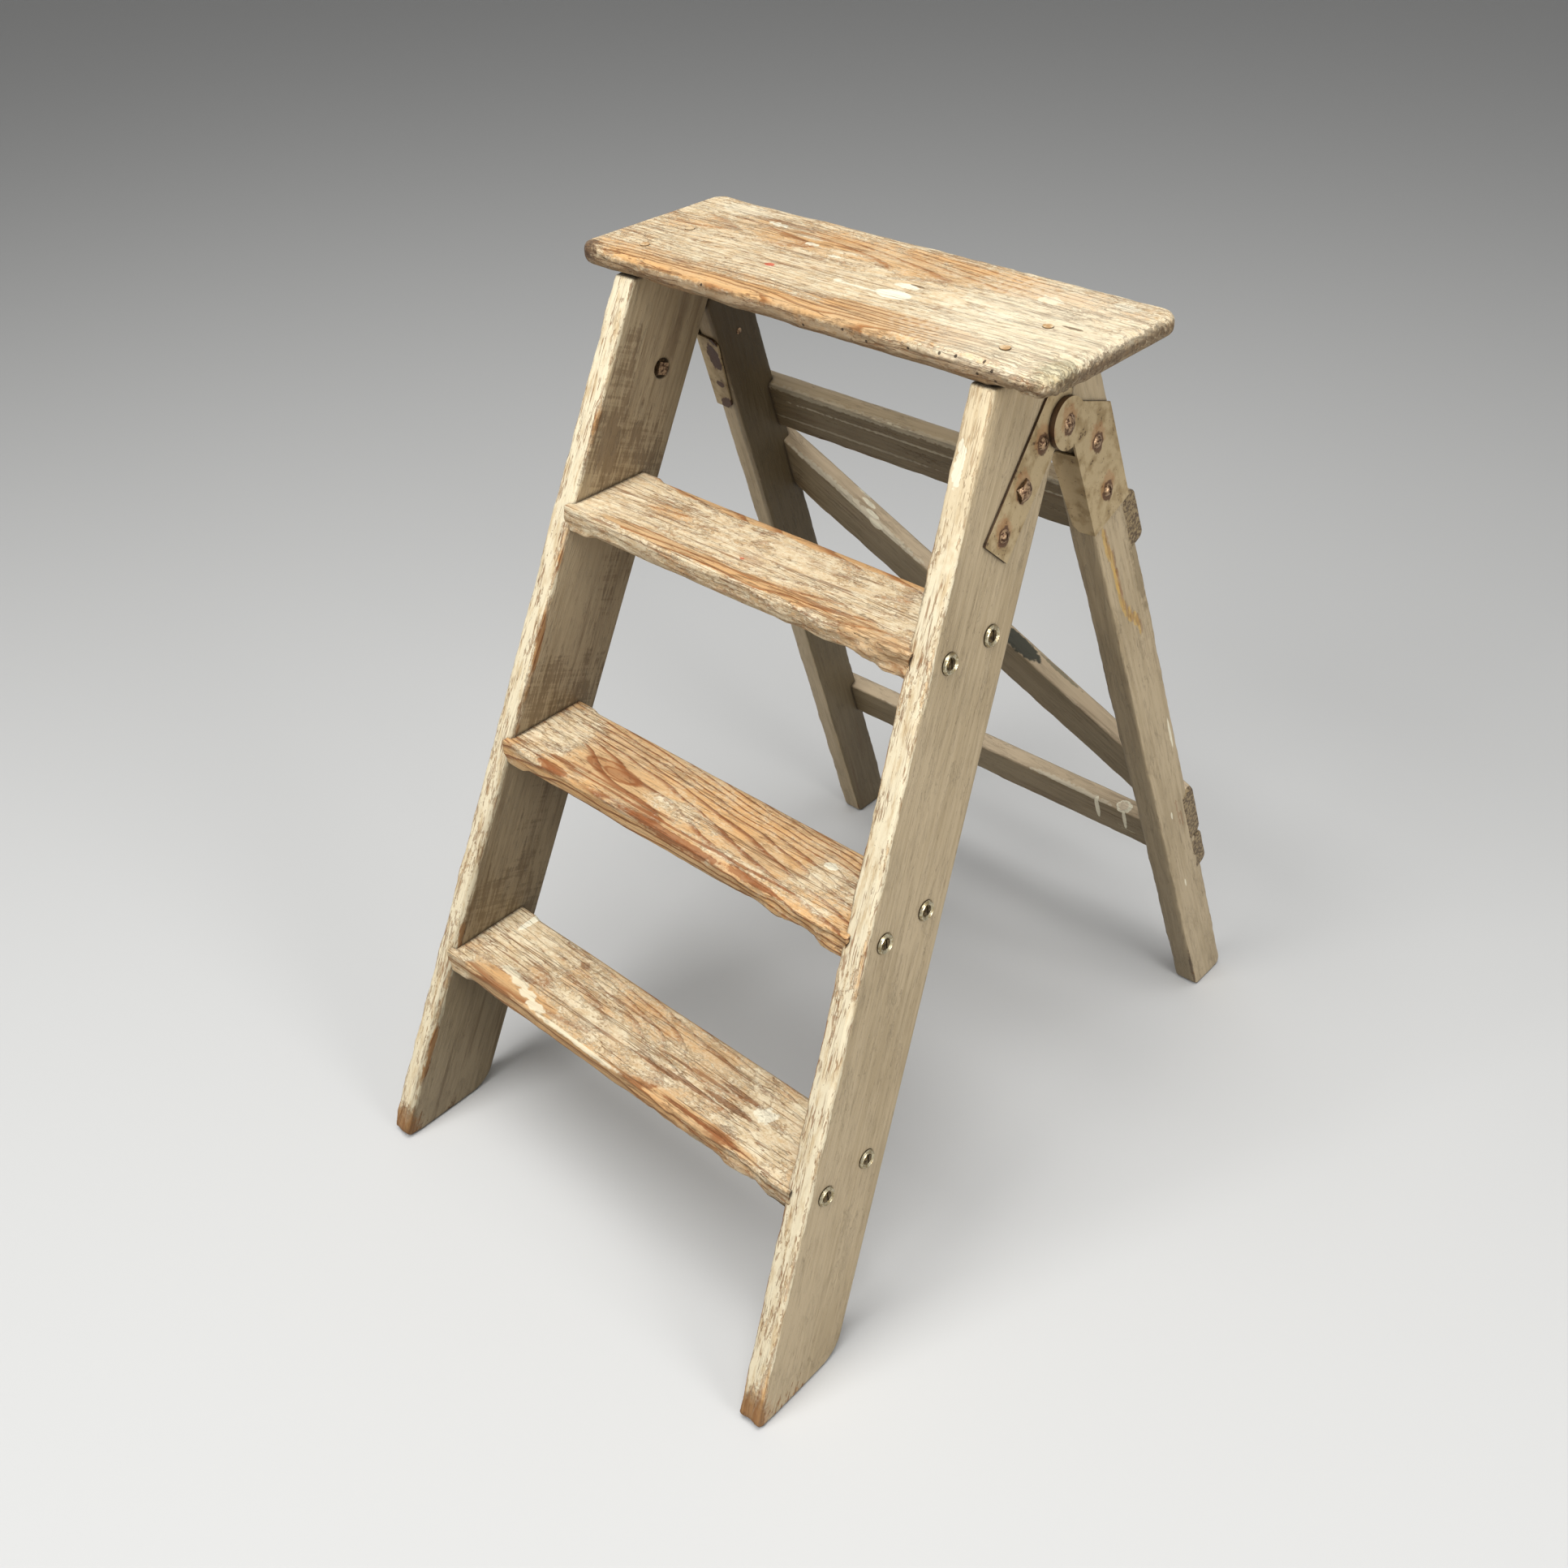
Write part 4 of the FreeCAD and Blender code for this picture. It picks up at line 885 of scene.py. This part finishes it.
nickel = metal("tarnished_nickel", paint(196, 186, 158), paint(150, 134, 100), 1.0, 0.16, 0.4,
               300.0, 0.9)
rust = metal("rusty_steel", paint(170, 140, 108), paint(72, 48, 32), 0.75, 0.30, 0.6,
             350.0, 0.6)
dark_steel = metal("dull_steel", paint(92, 80, 62), paint(52, 42, 32), 0.8, 0.35, 0.6, 300.0)
brass = metal("brassed_screw", paint(112, 94, 62), paint(58, 46, 30), 1.0, 0.3, 0.55,
              300.0, 0.8)
buried = metal("painted_over", paint(206, 182, 144), paint(176, 138, 92), 0.0, 0.6, 0.8, 200.0)
for side in ("left", "right"):
    dress(side + "_cup_washers", nickel)
    dress(side + "_tread_screws", brass)
    for node in ("pivot_rivet", "strap_bolt", "bolt_nut", "bolt_washer", "strap_screws",
                 "bracket_screw", "bracket_nail"):
        dress(side + "_" + node, rust)
dress("board_screws", buried)
for node in ("rail_nails", "brace_nails"):
    dress(node, dark_steel)

# ---- Rear legs ------------------------------------------------------------------------
# Two 56 by 28 mm legs, their heads mitred to lie against the stringers when the ladder
# stands open, painted greige all over.
REAR_LEAN = math.radians(20.65)
LEG_WIDTH = 0.056
LEG_THICKNESS = 0.028
LEG_PROUD = 0.002
LEG_SETBACK = 0.006
HEAD_TOP = 0.883
MITRE_BACK = 0.1104
PIVOT_Y, PIVOT_Z = (frame["joints"][0]["pos_m"][i] for i in (1, 2))


def leg_point(up_leg, back, depth):
    """Point on the right-hand leg: up from the pivot, behind its front face, sunk in."""
    back += LEG_SETBACK
    y = PIVOT_Y - up_leg * math.sin(REAR_LEAN) + back * math.cos(REAR_LEAN)
    z = PIVOT_Z + up_leg * math.cos(REAR_LEAN) + back * math.sin(REAR_LEAN)
    return side_point(y, z, depth)


leg_up = Vector((-SIDE_SLOPE * math.cos(REAR_LEAN), -math.sin(REAR_LEAN),
                 math.cos(REAR_LEAN)))
leg_length = PIVOT_Z / math.cos(REAR_LEAN)
half_width, half_thick = LEG_WIDTH / 2, LEG_THICKNESS / 2
right_lie = lie(leg_point(-leg_length, half_width, half_thick - LEG_PROUD), leg_up, -OUTWARD)
for side, matrix, inner in (("right", right_lie, 1), ("left", mirror_lie(right_lie), -1)):
    piece = block(side + "_rear_leg_timber", (-0.05, -half_width, -half_thick),
                  (leg_length + 0.12, half_width, half_thick))
    saw(piece, matrix, (0, 0, 0), (0, 0, -1))
    saw(piece, matrix, (0, 0, HEAD_TOP), (0, 0, 1))
    mitre = (0, FOOT_CORNER_Y + MITRE_BACK / math.cos(FRONT_LEAN), 0)
    saw(piece, matrix, mitre, (0, -math.cos(FRONT_LEAN), math.sin(FRONT_LEAN)))
    round_foot(piece, matrix, (0.006, 0.014), 6)
    ease_arrises(piece, 0.0025)
    refine(piece)
    weather(piece, 0.10, 0.0007, 3.0, shift=inner + 7)
    weather(piece, 0.012, 0.0013, 2.5, 2.2, -0.2, shift=inner * 3 + 8,
            where=near_arris(half_width, half_thick))
    out_z = -inner * half_thick
    if side == "left":
        # Painted shadow: the upper part of the inner face is darkened.
        marks = [((0.80, 0.0, inner * half_thick), (0.30, 0.05, 0.006), 0.4, 0.8, 0.55, SHADE_BROWN)]
    else:
        # A long crooked scratch, then white nicks, scuffs, a worn foot and a dull patch.
        run = [(0.748, -0.018), (0.722, -0.014), (0.697, -0.010), (0.675, -0.013),
               (0.654, -0.011), (0.638, -0.007), (0.626, 0.0), (0.614, 0.007), (0.600, 0.006)]
        marks = streak([(up, across, out_z) for up, across in run], 0.0015, 1.6, 0.5, 0.65,
                       paint(208, 168, 88))
        marks += streak([(up - 0.004, across + 0.003, out_z) for up, across in run],
                        0.0010, 2.2, 0.4, 0.4, RUST_BROWN)
        marks += [((0.432, 0.020, out_z), (0.020, 0.0016, 0.004), 0.6, 0.3, 0.95, WHITE_SPLASH),
                  ((0.192, -0.006, out_z), (0.006, 0.0011, 0.004), 0.8, 0.3, 0.9, WHITE_SPLASH),
                  ((0.317, -0.005, out_z), (0.005, 0.0012, 0.004), 1.2, 0.3, 0.9, WHITE_SPLASH),
                  ((0.310, 0.006, out_z), (0.016, 0.0016, 0.004), 3.2, 0.3, 0.4, RUST_BROWN),
                  ((0.296, 0.011, out_z), (0.012, 0.0014, 0.004), 3.2, 0.3, 0.4, RUST_BROWN),
                  ((0.030, -half_width, out_z), (0.036, 0.0022, 0.003), 1.4, 0.4, 0.75,
                   END_DARK),
                  ((0.675, 0.022, out_z), (0.040, 0.0045, 0.004), 2.6, 0.8, 0.5,
                   paint(110, 92, 60))]
    # Painted shade darkens each leg's inner face, and the right leg's front face too.
    material = painted_timber(side + "_leg_paint", matrix, LEG_WIDTH, LEG_THICKNESS,
                              6.0 + inner, cream_front=0.0, inner=inner, dirt_in=0.5,
                              dirt_out=0.2, foot_wear=0.3, inner_shade=0.74,
                              front_shade=0.45 if side == "right" else 0.0, marks=marks)
    fix(piece, matrix, "rear_frame", [side + "_rear_leg"], material)

# ---- Rails and brace ------------------------------------------------------------------
# Two rails and a diagonal brace, 24 mm thick, let into the back of the legs and nailed.
# The rear edges are rounded and their ends show dark end grain.
RAIL_THICKNESS = 0.024
RAIL_MIDDLE = LEG_WIDTH - 0.012 + RAIL_THICKNESS / 2
BOARD_ENDS = -LEG_PROUD - 0.0002
forward = Vector((0, -math.cos(REAR_LEAN), -math.sin(REAR_LEAN)))


def rear_bar(name, matrix, half_width, node, seed, marks, inner_shade, top_highlight, low_x=-0.45,
             high_x=0.45):
    """Board nailed across the back, sawn off in line with the legs' outer faces."""
    half_thick = RAIL_THICKNESS / 2
    piece = block(name, (low_x, -half_width, -half_thick), (high_x, half_width, half_thick))
    cuts = [((way * side_point(0, 0, BOARD_ENDS).x, 0, 0), (way * OUTWARD.x, 0, OUTWARD.z))
            for way in (1, -1)]
    for point, normal in cuts:
        saw(piece, matrix, point, normal)

    def rear_edges(a, b):
        return (abs(a.z + half_thick) < NEAR and abs(b.z + half_thick) < NEAR
                and abs(a.x - b.x) > 0.2)

    round_edges(piece, 0.0075, 4, rear_edges)
    ease_arrises(piece, 0.0022)
    refine(piece, 0.002)
    weather(piece, 0.09, 0.0008, 3.0, shift=seed)
    weather(piece, 0.010, 0.0014, 3.0, 2.2, -0.15, shift=seed + 3,
            where=near_arris(half_width, half_thick))
    back = matrix.inverted()
    ends = [(back @ Vector(point), back.to_3x3() @ Vector(normal)) for point, normal in cuts]
    material = painted_timber(node + "_paint", matrix, half_width * 2, RAIL_THICKNESS, seed,
                              cream_front=0.2, cover=0.80, dirt_in=0.55, dirt_out=0.5,
                              inner_shade=inner_shade, top_highlight=top_highlight, marks=marks, ends=ends)
    fix(piece, matrix, "rear_frame", [node], material)


front_z = RAIL_THICKNESS / 2
DRIP = paint(222, 214, 190)
rail_marks = {
    "upper_rail": [((-0.05, 0.028, front_z), (0.20, 0.003, 0.004), 2.6, 0.6, 0.30, DRIP),
                   ((0.02, 0.012, front_z), (0.16, 0.0012, 0.004), 2.6, 0.4, 0.30, DRIP),
                   ((-0.10, -0.012, front_z), (0.10, 0.0012, 0.004), 2.6, 0.4, 0.20, DRIP)],
    "lower_rail": [((0.139, 0.012, front_z), (0.0030, 0.020, 0.008), 0.3, 0.1, 1.0,
                    WHITE_SPLASH),
                   ((0.176, 0.012, front_z), (0.0024, 0.019, 0.008), 0.3, 0.1, 1.0,
                    WHITE_SPLASH),
                   ((0.173, 0.028, 0.005), (0.009, 0.006, 0.009), 0.8, 0.15, 1.0,
                    WHITE_SPLASH),
                   ((0.172, 0.028, 0.004), (0.006, 0.006, 0.006), 0.8, 0.15, 0.7, DUST_AND_TOP_LIGHT),
                   ((0.10, 0.026, front_z), (0.05, 0.0018, 0.006), 1.5, 0.3, 0.5, DRIP)],
}
# Last two numbers: painted shade on the inner face, painted highlight on the upper edge.
for node, drop, width, seed, inner_shade, top_highlight in (("upper_rail", 0.132, 0.059, 21.0, 0.84, 0.0),
                                              ("lower_rail", 0.645, 0.054, 24.0, 0.52, 0.50)):
    centre = leg_point(-drop - width / 2, RAIL_MIDDLE, 0)
    matrix = lie(Vector((0, centre.y, centre.z)), Vector((1, 0, 0)), forward)
    rear_bar(node + "_timber", matrix, width / 2, node, seed, rail_marks[node], inner_shade, top_highlight)

BRACE_WIDTH = 0.058
BRACE_TOP, BRACE_FOOT = 0.191, 0.643    # below the pivot, along the legs
upper_left = leg_point(-BRACE_TOP, RAIL_MIDDLE, 0)
upper_left.x = -leg_point(-BRACE_TOP, RAIL_MIDDLE, -LEG_PROUD).x
run = leg_point(-BRACE_FOOT, RAIL_MIDDLE, -LEG_PROUD).x - upper_left.x
fall = BRACE_FOOT - BRACE_TOP
slope = math.atan2(fall, run) - math.asin(BRACE_WIDTH / math.hypot(run, fall))
up_leg = Vector((0, -math.sin(REAR_LEAN), math.cos(REAR_LEAN)))
along = Vector((1, 0, 0)) * math.cos(slope) - up_leg * math.sin(slope)
down = Vector((-1, 0, 0)) * math.sin(slope) - up_leg * math.cos(slope)
matrix = lie(upper_left + down * BRACE_WIDTH / 2, along, forward)
brace_marks = [((x, BRACE_WIDTH / 2, z), (0.008, 0.006, 0.0022), 0.9, 0.3, 0.9, WHITE_SPLASH)
               for x, z in ((0.136, -0.009), (0.147, -0.002), (0.158, 0.005), (0.168, 0.011))]
brace_marks += [((0.368, BRACE_WIDTH / 2, 0.002), (0.028, 0.006, 0.0085), 0.9, 0.25, 0.92,
                 paint(36, 44, 38)),
                ((0.425, BRACE_WIDTH / 2, -0.006), (0.024, 0.006, 0.002), 1.6, 0.4, 0.6,
                 paint(80, 84, 64)),
                ((0.140, 0.028, front_z), (0.09, 0.002, 0.006), 1.6, 0.3, 0.6, DRIP)]
# The two 0.55s: painted shade on the inner face and painted highlight on the upper edge.
rear_bar("brace_timber", matrix, BRACE_WIDTH / 2, "diagonal_brace", 27.0, brace_marks,
         0.55, 0.55, -0.1, 0.75)

# ---- Hinges ---------------------------------------------------------------------------
# 2 mm steel straps and brackets, painted with the ladder; the paint has broken round
# the eye and rust has crept out from under every head.
RUST_DARK = paint(74, 44, 26)
RUST_ORANGE = paint(158, 98, 48)
STRAP_HEADS = ((0.2226, 0.0490, 0.8296), (0.2172, 0.0194, 0.8213), (0.2180, -0.0081, 0.7903),
               (0.2230, -0.0343, 0.7607))
BRACKET_HEADS = ((0.2226, 0.0490, 0.8296), (0.2210, 0.0978, 0.7964), (0.2260, 0.1168, 0.7459))
LIP_CHIPS = (((0.2094, 0.100, 0.711), (0.012, 0.010, 0.011)),
             ((0.2130, 0.092, 0.737), (0.006, 0.008, 0.004)),
             ((0.2080, 0.078, 0.775), (0.008, 0.010, 0.020)),
             ((0.200, 0.062, 0.800), (0.008, 0.010, 0.02)))


def plate_paint(name, marks, outward):
    """Ladder paint over steel: rust has crept out from under the heads and at chips."""
    material, tree = new_material(name)
    space = put(tree, "TexCoord")
    place = got(space, "Object")
    cloud = noise(place, 70.0, 5.0)
    fine = noise(place, 260.0, 5.0, 0.7)
    colour = tint(fade(cloud, 0.44, 0.64), paint(186, 165, 127), paint(158, 135, 96))
    spots = fade(fine * 0.6 + cloud * 0.4, 0.59, 0.65)
    colour = wash(colour, spots, 0.8, RUST_DARK)
    colour = wash(colour, fade(noise(place, 500.0), 0.66, 0.72), 0.6, RUST_DARK)
    colour = splashed(place, colour, marks)
    if "strap" in name:
        # Painted shade: the strap's edge faces are darkened like the shadowed gap beside them.
        facing = got(vector("DOT_PRODUCT", got(space, "Normal"), outward), "Value")
        colour = tint(fade(abs(facing), 0.30, 0.16, 0.0, 0.85), colour, RUST_DARK)
    finish_surface(colour, 0.5, fine - spots, 0.0005)
    return material


for side, way in (("left", -1), ("right", 1)):
    for part, heads in (("hinge_strap", STRAP_HEADS), ("hinge_bracket", BRACKET_HEADS)):
        marks = []
        for x, y, z in heads:
            marks += [((way * x, y - 0.001, z + 0.004), (0.02, 0.0085, 0.0105), 1.4, 0.5, 0.4,
                       RUST_ORANGE),
                      ((way * x, y, z - 0.001), (0.02, 0.0072, 0.0085), 0.9, 0.25, 0.85,
                       RUST_DARK)]
        if side == "left":
            marks += [((-x, y, z), size, 1.0, 0.1, 0.95, RUST_DARK)
                      for (x, y, z), size in LIP_CHIPS]
        node = side + "_" + part
        dress(node, plate_paint(node + "_paint", marks, (way * OUTWARD.x, 0, OUTWARD.z)))

# ---- Floor, light and camera ----------------------------------------------------------
# A plain pale floor with no edge in sight, soft lamps overhead, and the camera standing
# to the front and right of the ladder.
bpy.ops.object.select_all(action="DESELECT")
bpy.ops.mesh.primitive_circle_add(vertices=64, radius=9.0, fill_type="NGON")
floor = bpy.context.object
floor.name = "floor"
material, tree = new_material("pale_floor")


def seen_directly(tree):
    """1 for camera, glossy and transmission rays, which show the plain backdrop."""
    rays = put(tree, "LightPath")
    shown = got(rays, "Is Camera Ray").calc("MAXIMUM", got(rays, "Is Glossy Ray"))
    return shown.calc("MAXIMUM", got(rays, "Is Transmission Ray"))


shade = tint(seen_directly(tree), (0.30, 0.29, 0.27, 1), (0.60, 0.60, 0.59, 1))
shader = put(tree, "BsdfPrincipled", {"Base Color": shade, "Roughness": 0.85})
put(tree, "OutputMaterial", {0: got(shader)})
floor.data.materials.append(material)

world = bpy.data.worlds.new("studio")
world.use_nodes = True
bpy.context.scene.world = world
tree = world.node_tree
tree.nodes.clear()
sky = put(tree, "Background", {"Color": (1, 1, 1, 1),
                               "Strength": seen_directly(tree) * 0.62 + 0.14})
put(tree, "OutputWorld", {0: got(sky)})


def lamp(name, place, aim, size, watts):
    light = bpy.data.lights.new(name, "AREA")
    light.size = size
    light.energy = watts
    holder = bpy.data.objects.new(name, light)
    bpy.context.scene.collection.objects.link(holder)
    holder.location = place
    holder.rotation_euler = (Vector(aim) - Vector(place)).to_track_quat("-Z", "Y").to_euler()


lamp("overhead", (0.4, -0.9, 4.0), (0, 0, 0.4), 2.4, 135)
lamp("right", (3.0, -0.4, 1.2), (0, 0, 0.5), 1.2, 42)
lamp("front", (-0.5, -2.6, 2.6), (0, 0, 0.4), 1.4, 50)

camera = bpy.data.objects.new("camera", bpy.data.cameras.new("camera"))
bpy.context.scene.collection.objects.link(camera)
camera.data.sensor_width = 36
camera.data.lens = 35.88
right = Vector((0.7424, 0.6697, -0.0215))
upward = Vector((-0.3879, 0.4558, 0.8011))
look = Vector((-0.5463, 0.5864, -0.5981))
turned = Matrix((right, upward, -look)).transposed().to_4x4()
camera.matrix_world = Matrix.Translation((0.8613, -0.9873, 1.3608)) @ turned
bpy.context.scene.camera = camera
bpy.context.scene.view_settings.view_transform = "Standard"
